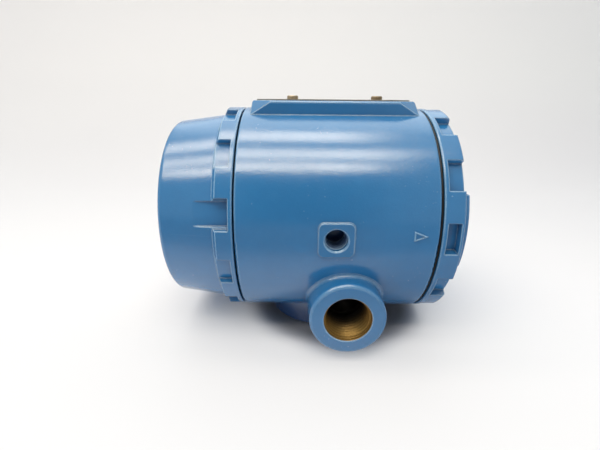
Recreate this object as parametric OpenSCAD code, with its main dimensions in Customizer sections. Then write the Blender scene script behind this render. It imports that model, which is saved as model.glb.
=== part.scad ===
// Field-mounted temperature transmitter in a cast two-compartment housing.
// A horizontal barrel holds an electronics bay (display end) and a wiring bay
// (terminal end). Screwed covers with castellated rims close the two ends.
// Origin: centre of the foot's flat underside. +Z is up, +X points at the
// terminal cover and -Y at the front conduit entry. Lengths in millimetres.

/* [Barrel] */
// Outside diameter of the barrel and of both cover rims
barrel_d = 102; // [99:0.5:112]
// Length of the barrel between its two end faces
barrel_l = 84; // [81:0.5:96]
// Height of the barrel's lowest line above the underside of the foot
foot_rise = 5.5; // [4:0.5:15]
// Distance from the display end face to the foot's centre line
foot_offset = 38.6; // [34:0.2:46]
// Rounding radius of the barrel's two end edges
barrel_edge_r = 0.8; // [0.3:0.1:1.2]
// Wall thickness around the bores that take the cover necks
mouth_wall = 5; // [4.5:0.1:6]
// Depth of those bores, from each end face
mouth_l = 14; // [12:0.5:18]
// Wall thickness around the two bays
bay_wall = 7.5; // [6:0.1:9]
// Depth of the electronics bay, from the display end face
display_bay_l = 24; // [19:0.5:28]
// Thickness of the bulkhead between the bays
bulkhead_t = 14; // [12:0.5:16]
// Diameter of the wiring passage through the bulkhead
passage_d = 20; // [16:0.5:24]

/* [Foot] */
// Diameter of the round foot
foot_d = 53.6; // [44:0.2:60]
// Chamfer around the foot's underside
foot_chamfer = 0.8; // [0.2:0.1:2]

/* [Conduit entries] */
// Distance from the display end face to the conduit axis
conduit_x = 47.9; // [47:0.1:54]
// Height of a conduit boss's lowest line above the underside of the foot
boss_lift = 5.4; // [4:0.1:7]
// Distance that each conduit face stands out beyond the barrel's side
conduit_stand = 5; // [4.5:0.1:12]
// Diameter of a conduit boss at its face
conduit_boss_d = 33.4; // [30:0.2:38]
// Growth of the boss's diameter from its face to its root
conduit_draft = 3; // [0.5:0.1:4]
// Radius of the cast blend where a boss meets the barrel
blend_r = 1.4; // [1:0.1:5]
// Rounding radius of the boss's outer edge
conduit_edge_r = 1.4; // [0.4:0.1:2.5]
// Diameter of the threaded conduit entry
conduit_d = 20.5; // [18:0.1:24]
// Length of the threaded conduit entry
conduit_l = 19; // [16:0.5:20]
// Countersink depth at the mouth of the entry
conduit_sink = 0.4; // [0.3:0.1:1.5]
// Diameter of the cable way from the entry into the wiring bay
cable_way_d = 16; // [10:0.5:18]

/* [Bracket holes] */
// Distance from the display end face to the bracket hole axis
bracket_x = 42; // [40:0.2:45]
// Diameter of a bracket hole
bracket_hole_d = 9.5; // [6:0.1:10]
// Depth of a bracket hole
bracket_hole_l = 12; // [8:0.5:13]
// Countersink depth at the mouth of a bracket hole
bracket_sink = 0.45; // [0.1:0.05:1]
// Distance that a bracket pad stands out beyond the barrel's side
bracket_stand = 0.3; // [0.1:0.1:2]
// Side of the square bracket pad
bracket_pad_w = 15; // [13:0.2:18]
// Corner radius of the bracket pad
bracket_pad_r = 2.5; // [1:0.1:5]
// Metal left beyond the bottom of a bracket hole
bracket_tip = 3.2; // [2:0.1:4]
// Metal left around a bracket hole inside the bay
bracket_wall = 3.8; // [2:0.1:5]

/* [Nameplate pad] */
// Distance from the display end face to the pad's near end
pad_x = 3.7; // [1.5:0.1:6]
// Distance from the pad's far end to the terminal end face
pad_far = 3.3; // [1.5:0.1:6]
// Width of the pad
pad_w = 34.4; // [26:0.2:40]
// Height of the pad's top above the barrel's highest line
pad_rise = 3.3; // [2:0.1:9]
// Rounding radius of the pad's upper edges
pad_edge_r = 1.2; // [0.4:0.1:2]
// Length cut from each pad corner at the top, along the barrel
pad_cut_x = 10.3; // [6:0.1:14]
// Length cut from each pad corner at the top, across the barrel
pad_cut_y = 10; // [6:0.1:14]
// Margin from the pad's outline to the nameplate
plate_margin = 1.9; // [1.5:0.1:4]
// Thickness of the nameplate
plate_t = 0.6; // [0.4:0.1:1.5]
// Distance between the two nameplate screws
plate_screw_pitch = 41.3; // [30:0.1:48]
// Distance from the pad's middle to the middle of the two screws
plate_screw_shift = 1.1; // [-3:0.1:3]
// Head diameter of the nameplate screws
plate_screw_d = 5.4; // [4:0.1:7]
// Head height of the nameplate screws
plate_screw_h = 1.8; // [1:0.1:3]

/* [Cover rims and necks] */
// Radial clearance between a cover neck and its bore
neck_clear = 0.4; // [0.3:0.05:0.6]
// Length of a cover neck inside the barrel
neck_l = 10.5; // [8:0.5:11]
// Wall thickness of a cover neck
neck_wall = 3.8; // [3:0.1:4.2]
// Chamfer at the tip of a cover neck
neck_chamfer = 1; // [0.3:0.1:2]
// Number of notches around a cover rim
notch_count = 12; // [6:1:16]
// Share of the rim taken by the notches
notch_share = 0.5; // [0.3:0.05:0.7]
// Rounding radius of the rims' seam edges
rim_edge_r = 0.5; // [0.2:0.1:0.8]
// Section diameter of a cover O-ring
seal_d = 3.2; // [2.4:0.1:3.4]
// Clearance around a cover O-ring
seal_clear = 0.3; // [0.2:0.05:0.4]

/* [Display cover] */
// Seam gap between the barrel and the display cover
display_gap = 0.7; // [0.5:0.1:1.5]
// Length of the display cover beyond its seam
display_cover_l = 33.25; // [31:0.25:42]
// Length of the full-diameter rim of the display cover
display_rim_l = 7.2; // [5:0.1:10]
// Radial step from the rim down to the cone
display_step_r = 3.6; // [2.8:0.1:4.5]
// Length of that step along the axis
display_step_l = 1.8; // [0.5:0.1:4]
// Radius lost along the cone
display_cone_drop = 3.4; // [1:0.1:5]
// Rounding radius of the cone's end edge
display_end_r = 2.5; // [0.8:0.1:4]
// Width of the unbroken band beside the seam
display_band = 1.8; // [1:0.1:3]
// Depth of the rim notches
display_notch = 2.6; // [1.5:0.1:3.4]
// Depth of the two tool slots
display_slot = 4.75; // [3.8:0.05:5]
// Share of a notch's width taken by its tool slot
slot_share = 0.86; // [0.6:0.02:0.95]
// Turn of the notch pattern from the horizontal, in degrees
display_phase = 11.5; // [0:0.5:30]

/* [Window] */
// Width of the cover's end face around the window opening
window_frame = 11; // [9:0.1:14]
// Thickness of the lip in front of the glass
window_lip = 3.4; // [2.5:0.1:4]
// Bevel around the window opening
window_bevel = 1.4; // [0.5:0.1:2]
// Width of the seat behind the lip
window_seat = 5.2; // [4:0.1:5.5]
// Thickness of the gasket between lip and glass
gasket_t = 0.8; // [0.5:0.1:1.5]
// Thickness of the window glass
glass_t = 6; // [4:0.25:8]
// Thickness of the glass retaining ring
retainer_t = 3; // [2:0.1:4]
// Width of the two spanner gaps in the retaining ring
retainer_gap = 4; // [2:0.5:6]
// Clearance around the glass and its retaining ring
window_clear = 0.2; // [0.1:0.05:0.4]

/* [Terminal cover] */
// Seam gap between the barrel and the terminal cover
terminal_gap = 1.2; // [0.8:0.1:1.8]
// Length of the terminal cover's rim beyond its seam
terminal_rim_l = 9; // [7.5:0.1:14]
// Width of the unbroken band beside the seam
terminal_band = 1.9; // [1:0.1:3]
// Depth of the rim notches
terminal_notch = 3.1; // [2:0.1:4.2]
// Depth of the two tool pockets
terminal_pocket = 4.3; // [4:0.1:5.2]
// Lip that closes a tool pocket at the end face
pocket_lip = 1.6; // [1.4:0.1:2.4]
// Thickness of the end wall
terminal_wall = 4; // [3:0.1:5]
// Rounding radius of the end edge
terminal_edge_r = 1.2; // [0.4:0.1:1.3]
// Height of the cross bar on the end face
bar_h = 4.7; // [2:0.1:6]
// Width of the cross bar
bar_w = 32.9; // [20:0.1:40]
// Distance from the axis to the cross bar's ends
bar_reach = 43.3; // [36:0.1:46]
// Rounding radius of the cross bar's edges
bar_edge_r = 0.9; // [0.3:0.1:1.5]
// Turn of the notch pattern from the horizontal, in degrees
terminal_phase = 1; // [0:0.5:30]

/* [Electronics module] */
// Clearance around the module inside the cover neck
module_clear = 0.8; // [0.6:0.1:1.5]
// Height of the module's face above the display end face
module_rise = 2; // [1:0.1:3.5]
// Height of the module's base flange
module_base_l = 4; // [2:0.5:7]
// Waist of the module's can, inside its flange
module_waist = 2; // [1:0.1:3]
// Height of the module's cap
module_cap_l = 6; // [4:0.5:8]
// Height of the plinth that carries the display
plinth_h = 2; // [1:0.1:3]
// Distance from the module's edge in to its screws
module_ring_in = 5.4; // [5:0.1:5.8]
// Diameter of the module's screw shanks
module_screw_d = 4; // [3:0.1:4.5]
// Head diameter of the module's screws
module_head_d = 7; // [6:0.1:7.4]
// Head height of the module's screws
module_head_h = 2.6; // [2:0.1:3.4]
// Depth of the module's screws in the bulkhead
module_screw_bite = 7; // [4:0.5:8]

/* [Switches] */
// Distance from the display housing's edge out to the switches
switch_out = 3.2; // [2.8:0.1:4]
// Length of a switch knob along its slot
knob_l = 4; // [3:0.1:5]
// Width of a switch knob
knob_w = 3; // [2.5:0.1:4]
// Height of a knob above the module's face
knob_rise = 1.2; // [0.6:0.1:1.8]
// Travel of a switch knob
knob_travel = 3; // [2:0.1:4]
// Clearance around a switch knob in its slot
knob_clear = 0.3; // [0.3:0.05:0.5]
// Depth of a switch slot
knob_slot_l = 3; // [2:0.1:4]

/* [Display] */
// Radial distance from the window opening in to the display housing
display_clear = 2; // [1:0.1:4]
// Space between the display housing and the window glass
display_front_clear = 1.75; // [1:0.05:5]
// Rounding radius of the display housing's front edge
display_edge_r = 1.6; // [0.5:0.1:3]
// Space between the liquid-crystal panel and the display's screw heads
panel_side = 3.5; // [1:0.1:8]
// Height of the liquid-crystal panel
panel_h = 26; // [18:0.5:30]
// Thickness of the liquid-crystal panel
panel_t = 2; // [1.2:0.1:3]
// Depth of the panel's face behind the bezel
panel_sink = 0.9; // [0.4:0.1:1.5]
// Clearance around the panel in its pocket
panel_clear = 0.2; // [0.1:0.05:0.4]
// Corner radius of the panel
panel_r = 2; // [0.5:0.1:4]
// Distance from the display housing's edge in to its screws
display_screw_in = 4; // [3.5:0.1:4.4]
// Head diameter of the display's screws
display_head_d = 5; // [4:0.1:5.2]
// Head height of the display's screws
display_head_h = 1.6; // [1:0.1:2]
// Shank diameter of the display's screws
display_screw_d = 2.5; // [2:0.1:3]
// Width of the plug between module and display
plug_w = 14; // [10:0.5:20]
// Depth of that plug across its rows of contacts
plug_t = 6; // [4:0.5:9]
// Height of that plug
plug_h = 5; // [3:0.5:8]

/* [Terminal block] */
// Clearance from the block to the bay wall and bracket bosses
block_clear = 2; // [1:0.1:3]
// Height of the terminal block above the bulkhead
block_h = 18; // [15:0.5:24]
// Height of the block's lower edge from the barrel's axis
block_low = -12; // [-14:0.5:-10]
// Corner radius of the block's lower corners
block_r = 2.5; // [1:0.1:5]
// Number of sensor terminals in the upper row
sensor_count = 5; // [3:1:5]
// Distance between neighbouring sensor terminals
sensor_pitch = 12; // [11:0.1:12.6]
// Height of the sensor row above the barrel's axis
sensor_row = 17; // [15:0.5:20]
// Number of supply terminals in the lower row
supply_count = 3; // [2:1:3]
// Distance between neighbouring supply terminals
supply_pitch = 14; // [12:0.1:18]
// Height of the supply row from the barrel's axis
supply_row = -1.5; // [-3:0.5:0]
// Width of a terminal's pocket
cell_w = 9.6; // [8.6:0.1:10]
// Height of a terminal's pocket
cell_h = 13; // [11:0.5:14]
// Depth of a terminal's pocket
cell_l = 7; // [5:0.5:9]
// Side of a terminal's clamp plate
clamp_w = 8; // [7:0.1:8.4]
// Thickness of a terminal's clamp plate
clamp_t = 1.2; // [0.8:0.1:2]
// Head diameter of a terminal screw
terminal_head_d = 6.4; // [5:0.1:7]
// Head height of a terminal screw
terminal_head_h = 2.4; // [1.5:0.1:3]
// Shank diameter of a terminal screw
terminal_screw_d = 3.5; // [2.5:0.1:4]
// Length of a terminal screw's shank in the block
terminal_screw_l = 6; // [4:0.5:8]
// Sideways distance from the axis to the block's fixing screws
block_screw_y = 27.5; // [26.5:0.1:28.5]
// Height of the block's fixing screws from the barrel's axis
block_screw_z = -4; // [-6:0.5:-2]
// Shank diameter of the block's fixing screws
block_screw_d = 4; // [3:0.1:4.5]
// Head diameter of the block's fixing screws
block_head_d = 7; // [6:0.1:7.6]
// Head height of the block's fixing screws
block_head_h = 2.6; // [2:0.1:3.2]

/* [Ground screw] */
// Sideways distance from the axis to the ground screw
ground_y = 20; // [17:0.2:22]
// Height of the ground screw from the barrel's axis
ground_z = -21; // [-22:0.2:-20]
// Diameter of the ground screw's cast boss
ground_boss_d = 9; // [8:0.1:10]
// Height of the ground screw's cast boss
ground_boss_h = 5; // [3:0.5:8]
// Side of the square ground clamp
ground_clamp_w = 8.4; // [7:0.1:9]
// Head diameter of the ground screw
ground_head_d = 7; // [5.5:0.1:8]

/* [Feedthrough] */
// Number of feedthrough pins
pin_count = 6; // [4:1:8]
// Diameter of a feedthrough pin
pin_d = 1.6; // [1:0.1:2]
// Distance from the axis to the feedthrough pins
pin_ring_r = 6; // [5:0.1:6.4]
// Length of a pin beyond the bulkhead on each side
pin_reach = 3; // [1:0.5:5]
// Clearance around a pin or screw in its hole
hole_clear = 0.1; // [0.05:0.05:0.2]

/* [Hidden] */
$fn = 96;
overrun = 0.5;
arc_steps = 6;
screw_slot_w = 1;
screw_slot_l = 1;
head_edge_r = 0.6;
blend_sink = 0.1;
blend_bed = 1.5;
blend_steps = 30;
blend_low = 60;

barrel_r = barrel_d / 2;
axis_h = barrel_r + foot_rise;
boss_face_r = conduit_boss_d / 2;
conduit_drop = axis_h - boss_lift - boss_face_r;
conduit_reach = barrel_r + conduit_stand;
bracket_reach = barrel_r + bracket_stand;
pad_l = barrel_l - pad_x - pad_far;
pad_h = barrel_r + pad_rise;
mouth_r = barrel_r - mouth_wall;
bay_r = barrel_r - bay_wall;
terminal_bay_l = barrel_l - display_bay_l - bulkhead_t;
neck_r = mouth_r - neck_clear;
cover_bore_r = neck_r - neck_wall;
seal_r = neck_r + seal_clear + seal_d / 2;
seal_seat_r = seal_r + seal_d / 2 + seal_clear;
seal_groove = seal_d + 2 * seal_clear;
notch_pitch = 360 / notch_count;
notch_angle = notch_pitch * notch_share;
tool_notches = [0, floor(notch_count / 2)];

display_end = display_gap + display_cover_l;
display_rim_end = display_gap + display_rim_l;
cone_start = display_rim_end + display_step_l;
cone_start_r = barrel_r - display_step_r;
cone_end_r = cone_start_r - display_cone_drop;
cone_angle = atan2(display_cone_drop, display_end - cone_start);
window_d = 2 * (cone_end_r - window_frame);
seat_r = window_d / 2 + window_seat;
seat_end = display_end - window_lip;
glass_end = seat_end - gasket_t;
retainer_end = glass_end - glass_t;
seat_start = retainer_end - retainer_t - window_clear;
glass_r = seat_r - window_clear;

terminal_end = terminal_gap + terminal_rim_l;
bar_start = terminal_end - terminal_wall / 2;
bar_end = terminal_end + bar_h;

module_r = cover_bore_r - module_clear;
module_l = display_bay_l + module_rise;
module_hole_d = module_screw_d + 2 * hole_clear;
module_ring_r = module_r - module_ring_in;
plinth_top = module_rise + plinth_h;
display_d = window_d - 2 * display_clear;
switch_ring_r = display_d / 2 + switch_out;
display_h = retainer_end - plinth_top - display_front_clear;
display_screw_r = display_d / 2 - display_screw_in;
panel_w = 2 * (display_screw_r - display_head_d / 2 - panel_side);
plinth_r = display_d / 2 - display_edge_r;
knob_slot = knob_l + knob_travel + 2 * knob_clear;
knob_rib_shares = [0.3, 0.7];

boss_root_r = boss_face_r + conduit_draft / 2;
boss_root = foot_d / 4;
boss_rise = conduit_drop - boss_face_r;
blend_limit = (pow(conduit_reach - conduit_edge_r, 2) - pow(barrel_r, 2) + pow(boss_rise, 2))
    / (barrel_r + boss_rise) / 2;
blend = max(blend_bed / 10, min(blend_r, blend_limit));
blend_reach_share = 0.97;
blend_half = asin(min(sin(blend_low), (blend_reach_share * (barrel_r + blend) - conduit_drop)
    / (boss_root_r + blend)));

bracket_boss_in = bracket_reach - bracket_hole_l - bracket_tip;
bracket_boss_r = bracket_hole_d / 2 + bracket_wall;
block_w = 2 * (bracket_boss_in - block_clear);
block_top_r = bay_r - block_clear;
sensor_cells = [for (i = [0:sensor_count - 1])
    [(i - (sensor_count - 1) / 2) * sensor_pitch, sensor_row]];
supply_cells = [for (i = [0:supply_count - 1])
    [(i - (supply_count - 1) / 2) * supply_pitch, supply_row]];
cells = concat(sensor_cells, supply_cells);
block_screws_at = [[-block_screw_y, block_screw_z], [block_screw_y, block_screw_z]];
plate_screws_at = [for (s = [-0.5, 0.5])
    pad_x + pad_l / 2 + plate_screw_shift + s * plate_screw_pitch];

paint = [0.20, 0.42, 0.65];
steel = [0.72, 0.72, 0.70];
brass = [0.78, 0.62, 0.30];
black = [0.08, 0.08, 0.09];

// Points along an arc, from angle a0 to angle a1
function arc(centre, r, a0, a1) = [for (i = [0:arc_steps])
    let (a = a0 + (a1 - a0) * i / arc_steps)
    centre + r * [cos(a), sin(a)]];

// Local +Z points out of the display end, local +Y up, a from the end face
module toward_display(a = 0) {
    translate([-foot_offset - a, 0, axis_h]) rotate([90, 0, -90]) children();
}

// Local +Z points out of the terminal end, local +Y up, a from the end face
module toward_terminals(a = 0) {
    translate([barrel_l - foot_offset + a, 0, axis_h]) rotate([90, 0, 90]) children();
}

// Local +Z points out of the front (side -1) or the rear (side 1)
module toward_side(side, x, z = 0) {
    translate([x - foot_offset, 0, axis_h + z]) rotate([-90 * side, 0, 0]) children();
}

// Round ring of rectangular section
module ring(r_in, r_out, z0, z1) {
    rotate_extrude() translate([r_in, z0]) square([r_out - r_in, z1 - z0]);
}

// Rectangle centred on the origin with round corners
module round_rect(w, h, r) {
    square([w - 2 * r, h], center = true);
    square([w, h - 2 * r], center = true);
    for (x = [r - w / 2, w / 2 - r], y = [r - h / 2, h / 2 - r]) {
        translate([x, y]) circle(r);
    }
}

// Upright rectangle standing on the X axis, with only its top corners round
module tombstone(w, h, r) {
    translate([-w / 2, 0]) square([w, h - r]);
    translate([r - w / 2, 0]) square([w - 2 * r, h]);
    for (x = [r - w / 2, w / 2 - r]) translate([x, h - r]) circle(r);
}

// Pan-head screw seen from its head, which stands on z = 0
module pan_screw(head_d, head_h, shank_d, shank_l, slotted = true) {
    difference() {
        union() {
            rotate_extrude() {
                square([head_d / 2, head_h - head_edge_r]);
                square([head_d / 2 - head_edge_r, head_h]);
                translate([head_d / 2 - head_edge_r, head_h - head_edge_r])
                    intersection() {
                        circle(head_edge_r);
                        square(head_edge_r);
                    }
            }
            translate([0, 0, -shank_l]) cylinder(d = shank_d, h = shank_l + overrun);
        }
        if (slotted) {
            translate([-head_d / 2 - overrun, -screw_slot_w / 2, head_h - screw_slot_l])
                cube([head_d + 2 * overrun, screw_slot_w, screw_slot_l + overrun]);
        }
    }
}

// Wedge that cuts one notch into a rim, centred on the given angle
module notch_cut(angle, width, floor_r, z0, z1) {
    rotate([0, 0, angle - width / 2]) rotate_extrude(angle = width)
        translate([floor_r, z0]) square([barrel_r + overrun - floor_r, z1 - z0]);
}

// Barrel with rounded end edges
module barrel() {
    translate([-foot_offset, 0, axis_h]) rotate([0, 90, 0]) rotate_extrude() {
        square([barrel_r - barrel_edge_r, barrel_l]);
        translate([0, barrel_edge_r]) square([barrel_r, barrel_l - 2 * barrel_edge_r]);
        for (z = [barrel_edge_r, barrel_l - barrel_edge_r]) {
            translate([barrel_r - barrel_edge_r, z]) circle(barrel_edge_r);
        }
    }
}

// Round foot with a chamfered underside
module foot() {
    r = foot_d / 2;
    rotate_extrude() polygon([[0, 0], [r - foot_chamfer, 0], [r, foot_chamfer],
        [r, axis_h - conduit_drop], [0, axis_h - conduit_drop]]);
}

// Conduit boss, drafted, with a rounded outer edge and its root inside the foot
module conduit_boss() {
    rotate_extrude() polygon(concat([[0, boss_root], [boss_root_r, boss_root]],
        arc([boss_face_r - conduit_edge_r, conduit_reach - conduit_edge_r], conduit_edge_r, 0, 90),
        [[0, conduit_reach]]));
}

// Radius of a conduit boss at a distance from the centre plane
function boss_r(z) = boss_face_r
    + conduit_draft / 2 * (conduit_reach - z) / (conduit_reach - boss_root);

// Distance from the centre plane to a wall of radius r around the barrel's axis
function wall_z(y, r) = sqrt(pow(r, 2) - pow(y - conduit_drop, 2));

// One section of the blend, at angle a: an arc that touches barrel and boss, then a bed point
function blend_section(a) = let (
    out = [cos(a), sin(a), 0],
    r = boss_r(wall_z((boss_face_r + blend) * out.y, barrel_r + blend)),
    centre = (r + blend) * out + [0, 0, wall_z((r + blend) * out.y, barrel_r + blend)],
    inward = [0, conduit_drop - centre.y, -centre.z] / (barrel_r + blend),
    span = acos(-inward * out),
    bed = (r - blend_bed) * out)
    concat([for (i = [0:arc_steps]) let (t = i / arc_steps * span)
        centre + (i == 0 || i == arc_steps ? blend + blend_sink : blend)
            * (sin(span - t) * inward - sin(t) * out) / sin(span)],
        [bed + [0, 0, wall_z(bed.y, barrel_r) - blend_bed]]);

// Cast blend around the root of the front conduit boss
module root_blend() {
    n = arc_steps + 2;
    sections = [for (k = [0:blend_steps])
        blend_section((180 + 2 * blend_half) * k / blend_steps - blend_half)];
    polyhedron([for (s = sections) each s], concat(
        [[for (i = [0:n - 1]) n - 1 - i], [for (i = [0:n - 1]) blend_steps * n + i]],
        [for (k = [0:blend_steps - 1], i = [0:n - 1]) let (a = k * n, j = (i + 1) % n)
            each [[a + i, a + j, a + n + j], [a + i, a + n + j, a + n + i]]]));
}

// Conduit entry with its countersink, and the narrower cable way behind it
module conduit_cut() {
    r = conduit_d / 2;
    translate([0, 0, conduit_reach - conduit_l]) cylinder(r = r, h = conduit_l + overrun);
    translate([0, 0, conduit_reach - conduit_sink])
        cylinder(r1 = r, r2 = r + conduit_sink, h = conduit_sink);
    cylinder(d = cable_way_d, h = conduit_reach - conduit_l + overrun);
}

// Raised pad for the nameplate, its four corners cut by sloping planes
module nameplate_pad() {
    wall_foot = sqrt(pow(barrel_r, 2) - pow(pad_w / 2, 2));
    rise = pad_h - wall_foot;
    slope = atan(rise / (pad_cut_x * pad_cut_y) * norm([pad_cut_x, pad_cut_y]));
    turn = atan2(pad_cut_x, pad_cut_y);
    translate([pad_x + pad_l / 2 - foot_offset, 0, axis_h]) difference() {
        intersection() {
            rotate([90, 0, 90]) linear_extrude(pad_l, center = true)
                tombstone(pad_w, pad_h, pad_edge_r);
            rotate([90, 0, 0]) linear_extrude(pad_w, center = true)
                tombstone(pad_l, pad_h, pad_edge_r);
            translate([-pad_l / 2, -pad_w / 2, mouth_r + seal_clear]) cube([pad_l, pad_w, pad_h]);
        }
        for (mx = [0, 1], my = [0, 1]) {
            mirror([mx, 0, 0]) mirror([0, my, 0])
                translate([-pad_l / 2, -pad_w / 2, wall_foot]) rotate([0, 0, turn])
                rotate([0, -slope, 0]) translate([-pad_w, -pad_w, 0])
                cube([2 * pad_w, 2 * pad_w, pad_w]);
        }
    }
}

// Hollows behind the two ends: O-ring seat, neck bore and bay
module bays() {
    toward_display() {
        translate([0, 0, display_gap - seal_groove]) cylinder(r = seal_seat_r, h = 2 * seal_groove);
        translate([0, 0, -mouth_l]) cylinder(r = mouth_r, h = mouth_l + overrun);
        translate([0, 0, -display_bay_l]) cylinder(r = bay_r, h = display_bay_l + overrun);
    }
    toward_terminals() {
        translate([0, 0, terminal_gap - seal_groove]) cylinder(r = seal_seat_r, h = 2 * seal_groove);
        translate([0, 0, -mouth_l]) cylinder(r = mouth_r, h = mouth_l + overrun);
        translate([0, 0, -terminal_bay_l]) cylinder(r = bay_r, h = terminal_bay_l + overrun);
    }
}

// Cast housing: barrel, foot, two conduit bosses, bracket pads, nameplate pad
module housing() {
    color(paint) difference() {
        union() {
            difference() {
                union() {
                    barrel();
                    foot();
                    nameplate_pad();
                    for (side = [-1, 1]) {
                        toward_side(side, conduit_x, -conduit_drop) conduit_boss();
                        mirror([0, side + 1, 0]) toward_side(-1, conduit_x, -conduit_drop) root_blend();
                        toward_side(side, bracket_x) translate([0, 0, bay_r])
                            linear_extrude(bracket_reach - bay_r)
                            round_rect(bracket_pad_w, bracket_pad_w, bracket_pad_r);
                    }
                }
                bays();
            }
            for (side = [-1, 1]) toward_side(side, bracket_x)
                translate([0, 0, bracket_boss_in])
                cylinder(r = bracket_boss_r, h = barrel_r - bay_wall / 2 - bracket_boss_in);
            toward_terminals(-terminal_bay_l) translate([ground_y, ground_z, -overrun])
                cylinder(d = ground_boss_d, h = ground_boss_h + overrun);
        }
        for (side = [-1, 1]) {
            toward_side(side, conduit_x, -conduit_drop) conduit_cut();
            toward_side(side, bracket_x) {
                translate([0, 0, bracket_reach - bracket_hole_l])
                    cylinder(d = bracket_hole_d, h = bracket_hole_l + overrun);
                translate([0, 0, bracket_reach - bracket_sink])
                    cylinder(d1 = bracket_hole_d, d2 = bracket_hole_d + 2 * bracket_sink, h = bracket_sink);
            }
        }
        toward_terminals(-terminal_bay_l) {
            translate([0, 0, -bulkhead_t - overrun]) cylinder(d = passage_d, h = bulkhead_t + 2 * overrun);
            for (p = block_screws_at) translate([p.x, p.y, -block_screw_d * 2])
                cylinder(d = block_screw_d + 2 * hole_clear, h = block_screw_d * 2 + overrun);
            translate([ground_y, ground_z, -ground_boss_h])
                cylinder(d = terminal_screw_d + 2 * hole_clear, h = 2 * ground_boss_h + overrun);
        }
        toward_display(-display_bay_l) for (s = [-1, 1])
            translate([s * module_ring_r, 0, -module_screw_bite - hole_clear])
            cylinder(d = module_hole_d, h = module_screw_bite + overrun);
        for (x = plate_screws_at)
            translate([x - foot_offset, 0, axis_h + pad_h - plate_screw_d])
            cylinder(d = plate_screw_d / 2 + 2 * hole_clear, h = plate_screw_d + overrun);
    }
}

// Thin nameplate whose outline follows the pad's top, with two screw holes
module nameplate() {
    hx = pad_l / 2 - plate_margin;
    hy = pad_w / 2 - plate_margin;
    color(steel) translate([pad_x + pad_l / 2 - foot_offset, 0, axis_h + pad_h])
    difference() {
        linear_extrude(plate_t) polygon([
            [-hx, pad_cut_y - hy], [pad_cut_x - hx, -hy], [hx - pad_cut_x, -hy], [hx, pad_cut_y - hy],
            [hx, hy - pad_cut_y], [hx - pad_cut_x, hy], [pad_cut_x - hx, hy], [-hx, hy - pad_cut_y]]);
        for (x = plate_screws_at) translate([x - pad_x - pad_l / 2, 0, -overrun])
            cylinder(d = plate_screw_d / 2 + 2 * hole_clear, h = plate_t + 2 * overrun);
    }
}

// Two domed drive screws that hold the nameplate
module nameplate_screws() {
    color(brass) for (x = plate_screws_at)
        translate([x - foot_offset, 0, axis_h + pad_h + plate_t])
        pan_screw(plate_screw_d, plate_screw_h, plate_screw_d / 2, plate_screw_d / 2 + plate_t, false);
}

// Deep conical cover with the window, a castellated rim and a screwed neck
module display_cover() {
    end_c = [cone_end_r + display_end_r * (tan(cone_angle) - 1 / cos(cone_angle)),
        display_end - display_end_r];
    color(paint) toward_display() difference() {
        rotate_extrude() polygon(concat(
            [[cover_bore_r, -neck_l], [neck_r - neck_chamfer, -neck_l], [neck_r, neck_chamfer - neck_l],
                [neck_r, display_gap]],
            arc([barrel_r - rim_edge_r, display_gap + rim_edge_r], rim_edge_r, -90, 0),
            [[barrel_r, display_rim_end], [cone_start_r, cone_start]],
            arc(end_c, display_end_r, cone_angle, 90),
            [[window_d / 2 + window_bevel, display_end], [window_d / 2, display_end - window_bevel],
                [window_d / 2, seat_end], [seat_r, seat_end], [seat_r, seat_start],
                [seat_r + window_clear, seat_start], [cover_bore_r, display_rim_end]]));
        for (k = [0:notch_count - 1]) notch_cut(display_phase + k * notch_pitch, notch_angle,
            barrel_r - display_notch, display_gap + display_band, cone_start + overrun);
        for (k = tool_notches) notch_cut(display_phase + k * notch_pitch, notch_angle * slot_share,
            barrel_r - display_slot, display_gap + display_band + rim_edge_r, display_end);
    }
}

// Round window glass
module window_glass() {
    color([0.80, 0.88, 0.90, 0.35]) toward_display(retainer_end) cylinder(r = glass_r, h = glass_t);
}

// Flat gasket between the lip and the glass
module window_gasket() {
    color(black) toward_display() ring(window_d / 2 + window_clear, glass_r, glass_end, seat_end);
}

// Retaining ring behind the glass, with two spanner gaps
module window_retainer() {
    color(steel) toward_display() difference() {
        ring(window_d / 2 + window_clear, glass_r, retainer_end - retainer_t, retainer_end);
        translate([-seat_r, -retainer_gap / 2, retainer_end - retainer_t - overrun])
            cube([seat_r * 2, retainer_gap, retainer_t / 2 + overrun]);
    }
}

// O-ring at the root of the display cover's neck
module display_seal() {
    color(black) toward_display(display_gap - seal_clear - seal_d / 2)
        rotate_extrude() translate([seal_r, 0]) circle(d = seal_d);
}

// O-ring at the root of the terminal cover's neck
module terminal_seal() {
    color(black) toward_terminals(terminal_gap - seal_clear - seal_d / 2)
        rotate_extrude() translate([seal_r, 0]) circle(d = seal_d);
}

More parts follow.
